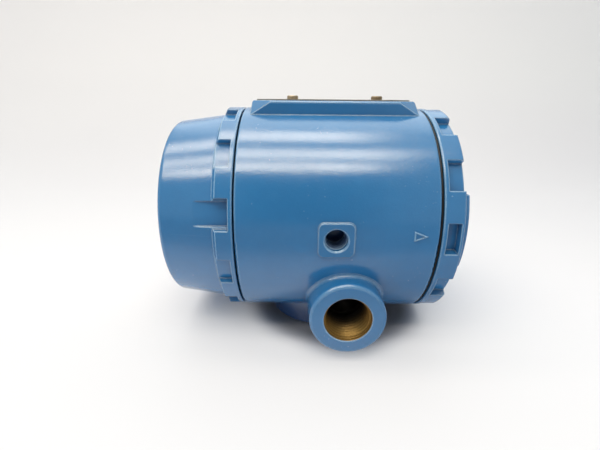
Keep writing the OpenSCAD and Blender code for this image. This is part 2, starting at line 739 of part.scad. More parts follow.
// Shallow cover with a castellated rim and a cross bar on its end face
module terminal_cover() {
    color(paint) toward_terminals() {
        difference() {
            rotate_extrude() polygon(concat(
                [[cover_bore_r, -neck_l], [neck_r - neck_chamfer, -neck_l], [neck_r, neck_chamfer - neck_l],
                    [neck_r, terminal_gap]],
                arc([barrel_r - rim_edge_r, terminal_gap + rim_edge_r], rim_edge_r, -90, 0),
                arc([barrel_r - terminal_edge_r, terminal_end - terminal_edge_r], terminal_edge_r, 0, 90),
                [[0, terminal_end], [0, terminal_end - terminal_wall],
                    [cover_bore_r, terminal_end - terminal_wall]]));
            for (k = [0:notch_count - 1]) if (k != tool_notches[0] && k != tool_notches[1])
                notch_cut(180 - terminal_phase + k * notch_pitch, notch_angle,
                    barrel_r - terminal_notch, terminal_gap + terminal_band, terminal_end + overrun);
            for (k = tool_notches) notch_cut(180 - terminal_phase + k * notch_pitch, notch_angle,
                barrel_r - terminal_pocket, terminal_gap + terminal_band, terminal_end - pocket_lip);
        }
        rotate([0, 0, -terminal_phase]) intersection() {
            translate([0, 0, bar_start]) rotate([90, 0, 90])
                linear_extrude(2 * (bar_reach + overrun), center = true)
                tombstone(bar_w, bar_end - bar_start, bar_edge_r);
            rotate_extrude() polygon(concat([[0, bar_start - overrun], [bar_reach, bar_start - overrun]],
                arc([bar_reach - bar_edge_r, bar_end - bar_edge_r], bar_edge_r, 0, 90), [[0, bar_end]]));
        }
    }
}

// Potted electronics can with a flange, a cap, a plinth and two switch slots
module electronics_module() {
    color([0.10, 0.11, 0.12]) toward_display(-display_bay_l) difference() {
        union() {
            rotate_extrude() polygon([[0, 0], [module_r, 0], [module_r, module_base_l],
                [module_r - module_waist, module_base_l + module_waist],
                [module_r - module_waist, module_l - module_cap_l],
                [module_r, module_l - module_cap_l + module_waist],
                [module_r, module_l - head_edge_r], [module_r - head_edge_r, module_l], [0, module_l]]);
            cylinder(r = plinth_r, h = module_l + plinth_h);
        }
        for (s = [-1, 1]) {
            translate([s * module_ring_r, 0, -overrun])
                cylinder(d = module_hole_d, h = module_l + 2 * overrun);
            translate([-knob_slot / 2, s * switch_ring_r - knob_w / 2 - knob_clear, module_l - knob_slot_l])
                cube([knob_slot, knob_w + 2 * knob_clear, knob_slot_l + overrun]);
            translate([s * display_screw_r, 0, module_l + plinth_h - display_screw_d * 2])
                cylinder(d = display_screw_d + 2 * hole_clear, h = display_screw_d * 2 + overrun);
        }
        for (i = [0:pin_count - 1]) rotate([0, 0, i * 360 / pin_count]) translate([pin_ring_r, 0, -overrun])
            cylinder(d = pin_d + 2 * hole_clear, h = pin_reach + hole_clear + overrun);
    }
}

// Two long screws that fix the module to the bulkhead
module module_screws() {
    color(steel) toward_display(module_rise) for (s = [-1, 1]) translate([s * module_ring_r, 0, 0])
        pan_screw(module_head_d, module_head_h, module_screw_d, module_l + module_screw_bite);
}

// Ribbed switch knob in its slot, s = 1 above the axis and -1 below it
module switch_knob(s) {
    low = knob_clear - knob_slot_l;
    toward_display(module_rise)
        translate([knob_slot / 2 - knob_clear - knob_l, s * switch_ring_r - knob_w / 2, 0])
        difference() {
            translate([0, 0, low]) cube([knob_l, knob_w, knob_rise - low]);
            for (share = knob_rib_shares)
                translate([knob_l * share - knob_clear, -overrun, knob_rise - knob_clear])
                cube([knob_clear * 2, knob_w + 2 * overrun, knob_clear + overrun]);
        }
}

// Failure-alarm switch above the display
module alarm_switch() {
    color([0.86, 0.86, 0.84]) switch_knob(1);
}

// Write-protect switch below the display
module security_switch() {
    color([0.86, 0.86, 0.84]) switch_knob(-1);
}

// Round display housing with a pocket for the panel
module display_housing() {
    r = display_d / 2;
    pocket_l = panel_t + panel_sink;
    color(black) toward_display(plinth_top) difference() {
        rotate_extrude() polygon(concat([[0, 0], [plinth_r, 0], [r, display_edge_r]],
            arc([r - display_edge_r, display_h - display_edge_r], display_edge_r, 0, 90), [[0, display_h]]));
        translate([0, 0, display_h - pocket_l]) linear_extrude(pocket_l + overrun)
            round_rect(panel_w + 2 * panel_clear, panel_h + 2 * panel_clear, panel_r);
        translate([0, 0, -overrun]) linear_extrude(plug_h + hole_clear + overrun)
            square([plug_w + 2 * panel_clear, plug_t + 2 * panel_clear], center = true);
        for (s = [-1, 1]) translate([s * display_screw_r, 0, 0]) {
            translate([0, 0, -overrun])
                cylinder(d = display_screw_d + 2 * hole_clear, h = display_h + 2 * overrun);
            translate([0, 0, display_h - display_head_h])
                cylinder(d = display_head_d + 2 * hole_clear, h = display_head_h + overrun);
        }
    }
}

// Liquid-crystal panel
module display_panel() {
    color([0.62, 0.68, 0.60]) toward_display(plinth_top + display_h - panel_sink - panel_t)
        linear_extrude(panel_t) round_rect(panel_w, panel_h, panel_r);
}

// Two screws that hold the display on the module
module display_screws() {
    color(steel) toward_display(plinth_top + display_h - display_head_h)
        for (s = [-1, 1]) translate([s * display_screw_r, 0, 0])
        pan_screw(display_head_d, display_head_h, display_screw_d,
            display_h - display_head_h + display_screw_d * 2 - hole_clear);
}

// Plug that joins the display to the module
module display_plug() {
    color(black) toward_display(plinth_top) linear_extrude(plug_h)
        square([plug_w, plug_t], center = true);
}

// Insulating bush that fills the passage through the bulkhead
module feedthrough() {
    color([0.75, 0.70, 0.60]) toward_terminals(-terminal_bay_l - bulkhead_t) difference() {
        cylinder(r = passage_d / 2 - hole_clear, h = bulkhead_t);
        for (i = [0:pin_count - 1]) rotate([0, 0, i * 360 / pin_count]) translate([pin_ring_r, 0, -overrun])
            cylinder(d = pin_d + 2 * hole_clear, h = bulkhead_t + 2 * overrun);
    }
}

// Contact pins through the bush
module feedthrough_pins() {
    color(brass) toward_terminals(-terminal_bay_l - bulkhead_t)
        for (i = [0:pin_count - 1]) rotate([0, 0, i * 360 / pin_count])
        translate([pin_ring_r, 0, -pin_reach]) cylinder(d = pin_d, h = bulkhead_t + 2 * pin_reach);
}

// Outline of the terminal block: flat sides, flat foot, round top
module block_outline() {
    top = block_top_r;
    intersection() {
        circle(top);
        translate([0, (top + block_low) / 2]) round_rect(block_w, top - block_low, block_r);
    }
}

// Moulded terminal block with one open-fronted pocket per terminal
module terminal_block() {
    color(black) toward_terminals(-terminal_bay_l) difference() {
        linear_extrude(block_h) block_outline();
        for (p = sensor_cells) translate([p.x - cell_w / 2, p.y - cell_h / 2, block_h - cell_l])
            cube([cell_w, cell_h, cell_l + overrun]);
        for (p = supply_cells) translate([p.x - cell_w / 2, block_low - overrun, block_h - cell_l])
            cube([cell_w, p.y + cell_h / 2 - block_low + overrun, cell_l + overrun]);
        for (p = cells) translate([p.x, p.y, block_h - cell_l - terminal_screw_l - hole_clear])
            cylinder(d = terminal_screw_d + 2 * hole_clear, h = terminal_screw_l + hole_clear + overrun);
        for (p = block_screws_at) translate([p.x, p.y, 0]) {
            translate([0, 0, -overrun]) cylinder(d = block_screw_d + 2 * hole_clear, h = block_h);
            translate([0, 0, block_h - cell_l])
                cylinder(d = block_head_d + 2 * hole_clear, h = cell_l + overrun);
        }
        for (i = [0:pin_count - 1]) rotate([0, 0, i * 360 / pin_count]) translate([pin_ring_r, 0, -overrun])
            cylinder(d = pin_d + 2 * hole_clear, h = pin_reach + hole_clear + overrun);
    }
}

// Square clamp plates under the terminal screws
module terminal_clamps() {
    color(brass) toward_terminals(block_h - cell_l - terminal_bay_l)
        for (p = cells) translate([p.x, p.y, 0]) difference() {
            translate([-clamp_w / 2, -clamp_w / 2, 0]) cube([clamp_w, clamp_w, clamp_t]);
            translate([0, 0, -overrun])
                cylinder(d = terminal_screw_d + 2 * hole_clear, h = clamp_t + 2 * overrun);
        }
}

// One screw per terminal
module terminal_screws() {
    color(steel) toward_terminals(block_h - cell_l + clamp_t - terminal_bay_l)
        for (p = cells) translate([p.x, p.y, 0])
        pan_screw(terminal_head_d, terminal_head_h, terminal_screw_d, terminal_screw_l + clamp_t);
}

// Two screws that fix the terminal block to the bulkhead
module block_screws() {
    color(steel) toward_terminals(block_h - cell_l - terminal_bay_l)
        for (p = block_screws_at) translate([p.x, p.y, 0])
        pan_screw(block_head_d, block_head_h, block_screw_d,
            block_h - cell_l + block_screw_d * 2 - hole_clear);
}

// Square clamp on the ground boss
module ground_clamp() {
    color(brass) toward_terminals(ground_boss_h - terminal_bay_l) translate([ground_y, ground_z, 0])
        difference() {
            translate([-ground_clamp_w / 2, -ground_clamp_w / 2, 0])
                cube([ground_clamp_w, ground_clamp_w, clamp_t]);
            translate([0, 0, -overrun])
                cylinder(d = terminal_screw_d + 2 * hole_clear, h = clamp_t + 2 * overrun);
        }
}

// Screw that holds the ground clamp
module ground_screw() {
    color(steel) toward_terminals(ground_boss_h + clamp_t - terminal_bay_l)
        translate([ground_y, ground_z, 0])
        pan_screw(ground_head_d, terminal_head_h, terminal_screw_d,
            2 * ground_boss_h + clamp_t - hole_clear);
}

housing();
nameplate();
nameplate_screws();
display_cover();
window_glass();
window_gasket();
window_retainer();
display_seal();
electronics_module();
module_screws();
alarm_switch();
security_switch();
display_housing();
display_panel();
display_screws();
display_plug();
feedthrough();
feedthrough_pins();
terminal_block();
terminal_clamps();
terminal_screws();
block_screws();
ground_clamp();
ground_screw();
terminal_seal();
terminal_cover();
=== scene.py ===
"""Looks of a field-mounted temperature transmitter in a cast two-compartment housing.

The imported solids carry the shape. This script dresses them, adds the screw threads, the raised
arrow, the display's segments and the squeezed seal lip, and sets the studio around them.
Everything is in metres, in the frame of the solids: +Z up, -Y at the front conduit entry.
"""
import logging
import math
from collections.abc import Callable
from dataclasses import dataclass
from enum import Enum
from functools import cached_property

import bmesh
import bpy
from mathutils import Matrix, Vector


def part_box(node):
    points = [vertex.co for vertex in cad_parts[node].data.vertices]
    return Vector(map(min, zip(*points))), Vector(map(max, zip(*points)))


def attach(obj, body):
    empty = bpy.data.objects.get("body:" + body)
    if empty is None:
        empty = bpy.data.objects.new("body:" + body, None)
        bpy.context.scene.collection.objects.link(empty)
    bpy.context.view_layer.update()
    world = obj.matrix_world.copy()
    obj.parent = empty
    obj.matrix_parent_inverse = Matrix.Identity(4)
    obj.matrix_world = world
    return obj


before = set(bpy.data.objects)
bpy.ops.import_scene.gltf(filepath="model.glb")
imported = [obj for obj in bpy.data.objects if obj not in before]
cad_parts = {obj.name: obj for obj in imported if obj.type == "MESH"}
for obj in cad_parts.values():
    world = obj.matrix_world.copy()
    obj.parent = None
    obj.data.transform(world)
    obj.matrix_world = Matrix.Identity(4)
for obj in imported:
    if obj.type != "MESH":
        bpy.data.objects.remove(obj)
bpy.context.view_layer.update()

MM = 0.001
AXIS_Z = 56.5 * MM
DISPLAY_END_X = -38.6 * MM
TERMINAL_END_X = 45.4 * MM
HOUSING_L = TERMINAL_END_X - DISPLAY_END_X
CONDUIT_X = 9.3 * MM
CONDUIT_Z = 22.1 * MM
CONDUIT_REACH = 56.0 * MM
BRACKET_X = 3.4 * MM
BRACKET_REACH = 51.3 * MM

# Limits of the machined faces, each a little past the face itself.
BAY_R = 46.25 * MM
SEAT_R = 49.75 * MM
SEAT_DEPTH = 4.2 * MM
ENTRY_R = 10.45 * MM
BRACKET_HOLE_R = 4.9 * MM
BRACKET_HOLE_END_Y = 39.0 * MM
COVER_HOLLOW_R = 41.95 * MM
DISPLAY_HOLLOW_X = -69.2 * MM
TERMINAL_HOLLOW_X = 51.8 * MM
DISPLAY_NECK_X = DISPLAY_END_X - 0.6 * MM
TERMINAL_NECK_X = TERMINAL_END_X + 1.1 * MM

# Where the mottling's drift starts and ends, for what follows it.
DRIFT = (0.3, 0.7)

Colour = tuple[float, float, float, float]
WHITE: Colour = (1.0, 1.0, 1.0, 1.0)

log = logging.getLogger("transmitter")


def srgb(red: int, green: int, blue: int) -> Colour:
    """Turn a display colour into a linear one.

    Args:
        red: Red, 0 to 255.
        green: Green, 0 to 255.
        blue: Blue, 0 to 255.

    Returns:
        The linear colour with full alpha.
    """
    def linear(channel: int) -> float:
        share = channel / 255
        return share / 12.92 if share <= 0.04045 else ((share + 0.055) / 1.055) ** 2.4
    return linear(red), linear(green), linear(blue), 1.0


def operator(operation: str) -> Callable[["Term", "Value"], "Term"]:
    """Make a Python operator that adds a Math node.

    Args:
        operation: The node's operation.

    Returns:
        The operator.
    """
    return lambda term, other: term.graph.math(operation, term, other)


class Term:
    """A node's output for use in formulas; a comparison gives 1 or 0."""

    __add__ = operator("ADD")
    __sub__ = operator("SUBTRACT")
    __mul__ = operator("MULTIPLY")
    __truediv__ = operator("DIVIDE")
    __lt__ = operator("LESS_THAN")
    __gt__ = operator("GREATER_THAN")

    def __init__(self, graph: "Graph", socket: bpy.types.NodeSocket) -> None:
        """Keep the output and the graph it is in."""
        self.graph, self.socket = graph, socket

    def __rsub__(self, other: float) -> "Term":
        """Take the term away from a constant."""
        return self.graph.math("SUBTRACT", other, self)

    def __abs__(self) -> "Term":
        """Drop the sign."""
        return self.graph.math("ABSOLUTE", self)

    def clamped(self) -> "Term":
        """Keep the last operation's result between 0 and 1."""
        self.socket.node.use_clamp = True
        return self


class Made:
    """A node whose outputs come as terms."""

    def __init__(self, graph: "Graph", node: bpy.types.Node) -> None:
        """Keep the node and the graph it is in."""
        self.graph, self.inputs, self.outputs = graph, node.inputs, node.outputs

    def __getitem__(self, output: str | int) -> Term:
        """Take one output, by name or index."""
        return Term(self.graph, self.outputs[output])


Value = Term | float | tuple[float, ...]
Inputs = dict[str | int, Value]
Point = tuple[float, float, float]
Materials = dict[str, bpy.types.Material]


class Graph:
    """Short calls that build a node tree, in a material or in a group."""

    def __init__(self, tree: bpy.types.NodeTree) -> None:
        """Keep the tree to build in."""
        self.tree = tree

    def feed(self, socket: bpy.types.NodeSocket, value: Value) -> None:
        """Link a term to an input, or set the input's value.

        Args:
            socket: The input.
            value: A term or a constant.
        """
        if isinstance(value, Term):
            self.tree.links.new(value.socket, socket)
        else:
            socket.default_value = value

    def add(self, kind: str, inputs: Inputs | None = None, **settings: object) -> "Made":
        """Add a node.

        Args:
            kind: The node's type name.
            inputs: Terms or constants for its inputs, by name or index.
            **settings: Attributes to set on it.

        Returns:
            The node, whose outputs come by name or index.
        """
        made = self.tree.nodes.new(kind)
        for key, value in settings.items():
            setattr(made, key, value)
        for key, value in (inputs or {}).items():
            self.feed(made.inputs[key], value)
        return Made(self, made)

    def math(self, operation: str, *values: Value) -> Term:
        """Do arithmetic on up to three values.

        Args:
            operation: The Math node's operation.
            *values: Its inputs.

        Returns:
            The result.
        """
        return self.add("ShaderNodeMath", dict(enumerate(values)), operation=operation)[0]

    def larger(self, first: Value, second: Value) -> Term:
        """Take the larger of two values."""
        return self.math("MAXIMUM", first, second)

    def remap(self, value: Value, low: float, high: float,
              to_low: float = 0.0, to_high: float = 1.0) -> Term:
        """Map a range of values onto another one, smoothly and clamped.

        Args:
            value: The value to map.
            low: Start of its range.
            high: End of its range.
            to_low: Result at the start.
            to_high: Result at the end.

        Returns:
            The result.
        """
        return self.add("ShaderNodeMapRange",
                        {0: value, 1: low, 2: high, 3: to_low, 4: to_high},
                        interpolation_type="SMOOTHSTEP")[0]

    def mix(self, factor: Value, first: Value, second: Value) -> Term:
        """Mix two colours.

        Args:
            factor: Share of the second colour.
            first: The first colour.
            second: The second colour.

        Returns:
            The mixed colour.
        """
        return self.add("ShaderNodeMix", {0: factor, 6: first, 7: second}, data_type="RGBA")[2]

    def split(self, vector: Value) -> Made:
        """Split a vector into X, Y and Z."""
        return self.add("ShaderNodeSeparateXYZ", {0: vector})

    def join(self, *parts: Value) -> Term:
        """Join up to three numbers into a vector."""
        return self.add("ShaderNodeCombineXYZ", dict(enumerate(parts)))[0]

    @cached_property
    def place(self) -> Made:
        """Object coordinates, split."""
        return self.split(self.add("ShaderNodeTexCoord")["Object"])

    def apart(self, axes: str, centre: tuple[float, float]) -> Term:
        """Measure how far a point is from a line along the third axis.

        Args:
            axes: The two axes to measure along.
            centre: Where the line crosses them.

        Returns:
            The distance in metres.
        """
        spot = self.join(*(self.place[axis] for axis in axes))
        return self.add("ShaderNodeVectorMath", {0: spot, 1: (*centre, 0.0)},
                        operation="DISTANCE")["Value"]

    def noise(self, scale: Value, detail: float = 3.0, roughness: float = 0.55,
              vector: Term | None = None) -> Term:
        """Add a noise texture on Object coordinates.

        Args:
            scale: Features per metre.
            detail: Octaves.
            roughness: How strongly the finer octaves show.
            vector: Other coordinates, where the pattern is stretched.

        Returns:
            The noise value.
        """
        place = vector or self.add("ShaderNodeTexCoord")["Object"]
        return self.add("ShaderNodeTexNoise", {"Vector": place, "Scale": scale, "Detail": detail,
                                               "Roughness": roughness})["Fac"]


SOCKET_OF_DEFAULT = {float: "NodeSocketFloat", int: "NodeSocketInt", tuple: "NodeSocketColor"}
SOCKET_OF_OUTPUT = {"Colour": "NodeSocketColor", "Geometry": "NodeSocketGeometry"}


class Group:
    """A node group with named inputs and outputs."""

    tree_kind = "ShaderNodeTree"

    def __init__(self, name: str, inputs: dict[str, Value], *outputs: str) -> None:
        """Make the group with its sockets.

        Args:
            name: The group's name.
            inputs: Default of each input, which also sets its type.
            *outputs: Name of each output.
        """
        self.tree = bpy.data.node_groups.new(name, self.tree_kind)
        self.identifiers: dict[str, str] = {}
        for label, default in inputs.items():
            socket = self.tree.interface.new_socket(
                label, in_out="INPUT", socket_type=SOCKET_OF_DEFAULT[type(default)])
            socket.default_value = default
            self.identifiers[label] = socket.identifier
        for label in outputs:
            self.tree.interface.new_socket(
                label, in_out="OUTPUT", socket_type=SOCKET_OF_OUTPUT.get(label, "NodeSocketFloat"))
        self.graph = Graph(self.tree)
        self.given = self.graph.add("NodeGroupInput")
        self.result = self.graph.add("NodeGroupOutput").inputs

    def put(self, **results: Term) -> "Group":
        """Put a term out at each output, and return the group."""
        for label, value in results.items():
            self.graph.feed(self.result[label], value)
        return self

    def use(self, graph: Graph, **inputs: Value) -> Made:
        """Place the group in a material.

        Args:
            graph: The material's graph.
            **inputs: Values for the group's inputs.

        Returns:
            The group's node there.
        """
        return graph.add("ShaderNodeGroup", inputs, node_tree=self.tree)


class Effects:
    """The shared effects: edge wear, mottling, a film of dust, fine grain, brushed lines."""

    def __init__(self) -> None:
        """Build each group once."""
        self.edge_wear = self._edge_wear()
        self.mottle = self._mottle()
        self.dust = self._dust()
        self.grain = self._grain()
        self.brushed = self._brushed()

    @staticmethod
    def _edge_wear() -> Group:
        """Chips along edges: an edge mask broken up by noise."""
        group = Group("edge_wear", {"Edge": 0.0, "Amount": 0.5, "Scale": 400.0}, "Mask")
        graph, given = group.graph, group.given
        patch = graph.noise(given["Scale"] * 0.12, 2.0)
        broken = graph.noise(given["Scale"], 4.0, 0.65) * graph.remap(patch, 0.35, 0.7, 0.55, 1.25)
        shown = given["Edge"] * broken - (1.0 - given["Amount"])
        return group.put(Mask=(shown * 9.0).clamped())

    @staticmethod
    def _mottle() -> Group:
        """Slow and fine drift of a colour towards a second one."""
        group = Group("mottled_colour", {"Colour": WHITE, "Other": WHITE, "Scale": 40.0,
                                         "Amount": 0.5}, "Colour", "Drift")
        graph, given = group.graph, group.given
        slow = graph.noise(given["Scale"], 3.0, 0.5)
        fine = graph.noise(given["Scale"] * 9.0, 3.0, 0.6)
        drift = slow * 0.7 + fine * 0.3
        share = graph.remap(drift, 0.34, 0.66) * given["Amount"]
        return group.put(Colour=graph.mix(share, given["Colour"], given["Other"]), Drift=drift)

    @staticmethod
    def _dust() -> Group:
        """Pale dust on faces that look up, and a few specks everywhere."""
        group = Group("dust_film", {"Colour": WHITE, "Dust": WHITE, "Amount": 0.2},
                      "Colour", "Film")
        graph, given = group.graph, group.given
        upward = graph.split(graph.add("ShaderNodeTexCoord")["Normal"])["Z"]
        cloud = graph.remap(graph.noise(130.0, 5.0, 0.62), 0.42, 0.72)
        specks = (graph.remap(graph.noise(1100.0, 1.0, 0.5), 0.72, 0.76)
                  * graph.remap(graph.noise(60.0, 2.0, 0.5), 0.50, 0.62))
        settled = cloud * graph.remap(upward, 0.1, 1.0)
        film = (settled * given["Amount"] + specks * 0.22).clamped()
        return group.put(Colour=graph.mix(film, given["Colour"], given["Dust"]), Film=film)

    @staticmethod
    def _grain() -> Group:
        """Height of a skin: a broad orange peel and a finer grain."""
        group = Group("fine_grain", {"Broad": 500.0, "Fine": 2500.0, "Balance": 0.3}, "Height")
        graph, given = group.graph, group.given
        broad = graph.noise(given["Broad"], 2.0, 0.45)
        fine = graph.noise(given["Fine"], 2.0, 0.5)
        return group.put(Height=broad * (1.0 - given["Balance"]) + fine * given["Balance"])

    @staticmethod
    def _brushed() -> Group:
        """Fine lines along the barrel's axis, as left by a brush or a rolling mill."""
        group = Group("brushed_lines", {"Scale": 900.0}, "Lines")
        graph = group.graph
        place = graph.add("ShaderNodeTexCoord")["Object"]
        drawn = graph.add("ShaderNodeMapping", {"Vector": place, "Scale": (0.03, 1.0, 1.0)})[0]
        return group.put(Lines=graph.noise(group.given["Scale"], 3.0, 0.6, drawn))


EFFECTS = Effects()


class Surface(Graph):
    """A material's graph around a Principled shader, with what several finishes need."""

    def __init__(self, name: str) -> None:
        """Make the material, its shader and its output."""
        self.material = bpy.data.materials.new(name)
        self.material.use_nodes = True
        super().__init__(self.material.node_tree)
        self.tree.nodes.clear()
        self.shader = self.add("ShaderNodeBsdfPrincipled")
        self.end = self.add("ShaderNodeOutputMaterial", {0: self.shader[0]}).inputs[0]

    def finish(self, inputs: dict[str, Value]) -> bpy.types.Material:
        """Feed the shader.

        Args:
            inputs: Values for the shader's inputs.

        Returns:
            The material.
        """
        for label, value in inputs.items():
            self.feed(self.shader.inputs[label], value)
        return self.material

    @cached_property
    def flat(self) -> Term:
        """The normal before any rounding."""
        return self.add("ShaderNodeNewGeometry")["Normal"]

    def soft_edges(self, radius: float) -> tuple[Term, Term]:
        """Round a solid's edges in shading and find where they are.

        Args:
            radius: Rounding radius in metres.

        Returns:
            The rounded normal, and a mask that is 1 on an edge.
        """
        rounded = self.add("ShaderNodeBevel", {"Radius": radius}, samples=4)[0]
        agreement = self.add("ShaderNodeVectorMath", {0: rounded, 1: self.flat},
                             operation="DOT_PRODUCT")["Value"]
        return rounded, self.remap(agreement, 0.998, 0.93)

    def edge_lean(self, rounded: Term) -> Term:
        """Tell how far an edge's rounding leans upwards from the flat face beside it.

        Args:
            rounded: The rounded normal.

        Returns:
            Above 0 where the edge turns up, below 0 where it turns down, 0 off the edges.
        """
        return self.split(rounded)["Z"] - self.split(self.flat)["Z"]

    def hollow_corners(self, reach: float) -> Term:
        """Find the inside corners of a piece by ambient occlusion, where shade falls.

        Args:
            reach: How far from the corner they count, in metres.

        Returns:
            A mask that grows to 1 in a deep corner.
        """
        open_sky = self.add("ShaderNodeAmbientOcclusion", {"Distance": reach},
                            samples=4, only_local=True)["AO"]
        return self.remap(open_sky, 0.92, 0.45)

    def bump(self, height: Term, strength: float, distance: float,
             normal: Term | None = None, invert: bool = False) -> Term:
        """Bend the normal by a height.

        Args:
            height: The height, 0 to 1.
            strength: How much of it counts.
            distance: Depth at full height, in metres.
            normal: The normal to bend, or the smooth one.
            invert: Whether a greater height lies deeper.

        Returns:
            The bent normal.
        """
        inputs: Inputs = {"Strength": strength, "Distance": distance, "Height": height}
        if normal:
            inputs["Normal"] = normal
        return self.add("ShaderNodeBump", inputs, invert=invert)[0]


class Zone(Enum):
    """Which faces of a painted casting are machined bare."""

    NONE = 0
    HOUSING = 1
    DISPLAY_COVER = 2
    TERMINAL_COVER = 3


@dataclass(frozen=True)
class CastPaint:
    """Semi-gloss paint on cast aluminium, with bare machined faces where a zone says so.

    Attributes:
        zone: Which faces are machined bare.
        colour: The paint.
        deep: The paint where it lies a little thicker.
        gloss: Roughness of the paint.
        index: Its refractive index, which sets how strong the gloss is.
        primer: What shows in a chip.
        edge_wear_and_highlight: The paint where an edge is worn, and the painted highlight on
            edges that face or turn up.
        corner_shade: Painted shade in an inside corner and under an edge that turns down.
        foot_hole_shade: Painted shade low on the foot and deep in the bracket holes.
        bare: The machined, conversion-coated metal.
        stain: What the metal drifts towards.
        bore_shade: Painted shade on the metal deep in the conduit entries.
        dust: The dust on the paint.
        tint: Tint of the paint's gloss.
        edge: Rounding radius of its edges in shading, in metres.
        peel: Depth of its orange peel in metres.
        chip: Depth of a chip in metres.
    """

    zone: Zone = Zone.NONE
    colour: Colour = srgb(42, 117, 173)
    deep: Colour = srgb(34, 106, 161)
    gloss: float = 0.15
    index: float = 2.0
    primer: Colour = srgb(168, 158, 140)
    # Worn-edge colour, also used as painted highlight on edges that face or turn up.
    edge_wear_and_highlight: Colour = srgb(180, 216, 242)
    # Painted shade for inside corners and under edges that turn down.
    corner_shade: Colour = srgb(16, 62, 110)
    # Painted shade low on the foot and deep in the bracket holes.
    foot_hole_shade: Colour = srgb(6, 42, 98)
    bare: Colour = srgb(156, 122, 60)
    stain: Colour = srgb(140, 104, 44)
    # Painted shade on the metal deep in the conduit entries.
    bore_shade: Colour = srgb(22, 15, 8)
    dust: Colour = srgb(150, 178, 200)
    tint: Colour = (1.0, 0.95, 0.88, 1.0)
    edge: float = 0.8 * MM
    peel: float = 0.1 * MM
    chip: float = 0.08 * MM

    def _bare_mask(self, graph: Graph) -> Value:
        """Find the machined faces: 1 on them, or a plain 0 where the zone has none."""
        if self.zone is Zone.NONE:
            return 0.0
        x, y = graph.place["X"], graph.place["Y"]
        around = graph.apart("YZ", (0.0, AXIS_Z))
        if self.zone is Zone.HOUSING:
            middle, half = (DISPLAY_END_X + TERMINAL_END_X) / 2, HOUSING_L / 2
            seat = (abs(x - middle) > half - SEAT_DEPTH) * (around < SEAT_R)
            inside = graph.larger(around < BAY_R, seat)
            entry = graph.apart("XZ", (CONDUIT_X, CONDUIT_Z)) < ENTRY_R
            hole = graph.apart("XZ", (BRACKET_X, AXIS_Z)) < BRACKET_HOLE_R
            painted = hole * (abs(y) > BRACKET_HOLE_END_Y)
            return (graph.larger(inside, entry) - painted).clamped()
        if self.zone is Zone.DISPLAY_COVER:
            neck, hollow = x > DISPLAY_NECK_X, x > DISPLAY_HOLLOW_X
        else:
            neck, hollow = x < TERMINAL_NECK_X, x < TERMINAL_HOLLOW_X
        return graph.larger(neck, hollow * (around < COVER_HOLLOW_R))

    def _painted_shades(self, graph: Graph) -> tuple[Value, Value]:
        """Find where shade is painted on the housing.

        Args:
            graph: The material's graph.

        Returns:
            A mask of painted shade, darker towards the bottom of the foot and deeper in the
            bracket holes, and one of painted shade on the bare metal deep in the conduit entries.
            Both are a plain 0 on a cover.
        """
        if self.zone is not Zone.HOUSING:
            return 0.0, 0.0
        x, z, beside = graph.place["X"], graph.place["Z"], abs(graph.place["Y"])
        under = beside < 28.0 * MM
        # Painted shade, darker towards the bottom of the foot.
        foot = graph.remap(z, 26.0 * MM, 4.0 * MM, 0.0, 0.8) * under
        within = graph.apart("XZ", (BRACKET_X, AXIS_Z)) < BRACKET_HOLE_R
        # Painted shade, darker deeper in the bracket holes.
        hole = graph.remap(beside, 50.6 * MM, 47.0 * MM, 0.0, 0.85) * within
        # Painted shade: the metal darkens deeper in the conduit entries.
        margin = 10.6 * MM
        entry = (abs(x - CONDUIT_X) < margin) * (z < CONDUIT_Z + margin)
        bore_shade = entry * graph.remap(beside, 52.0 * MM, 39.0 * MM, 0.0, 0.97)
        return graph.larger(foot, hole), bore_shade

    def material(self, name: str) -> bpy.types.Material:
        """Build the material under its name."""
        surface = Surface(name)
        bare = self._bare_mask(surface)
        foot_hole_shade_mask, bore_shade = self._painted_shades(surface)
        rounded, edge = surface.soft_edges(self.edge)
        lean = surface.edge_lean(rounded)
        upward = surface.split(rounded)["Z"]
        hollow = surface.hollow_corners(1.8 * MM)
        outer = edge * (1.0 - hollow)
        mottled = EFFECTS.mottle.use(surface, Colour=self.colour, Other=self.deep,
                                     Scale=28.0, Amount=0.45)
        dusty = EFFECTS.dust.use(surface, Colour=mottled["Colour"], Dust=self.dust, Amount=0.06)
        chips = EFFECTS.edge_wear.use(surface, Edge=outer, Amount=0.26, Scale=420.0)["Mask"]
        worn = EFFECTS.edge_wear.use(surface, Edge=edge, Amount=0.62, Scale=260.0)["Mask"]

        # Edges are lighter where worn, and lighter still where they face or turn up: painted
        # highlight.
        rubbed = worn * 0.25 + outer * surface.remap(upward, -0.3, 0.4, 0.25, 0.75)
        edge_wear_and_highlight = surface.larger(rubbed, surface.remap(lean, 0.02, 0.18, 0.0, 0.8))
        # Painted shade under edges that turn down.
        under = surface.remap(lean, -0.03, -0.25, 0.0, 0.55) * surface.remap(upward, 0.35, 0.0)
        paint = surface.mix(edge_wear_and_highlight, dusty["Colour"], self.edge_wear_and_highlight)
        # Painted shade in inside corners and under edges.
        paint = surface.mix(surface.larger(under, hollow * 0.6), paint, self.corner_shade)
        # Painted shade low on the foot and deep in the bracket holes.
        paint = surface.mix(foot_hole_shade_mask, paint, self.foot_hole_shade)
        paint = surface.mix(chips, paint, self.primer)
        metal = EFFECTS.mottle.use(surface, Colour=self.bare, Other=self.stain,
                                   Scale=90.0, Amount=0.8)
        # Painted shade on the metal deep in the conduit entries.
        bore_shaded = surface.mix(bore_shade, metal["Colour"], self.bore_shade)

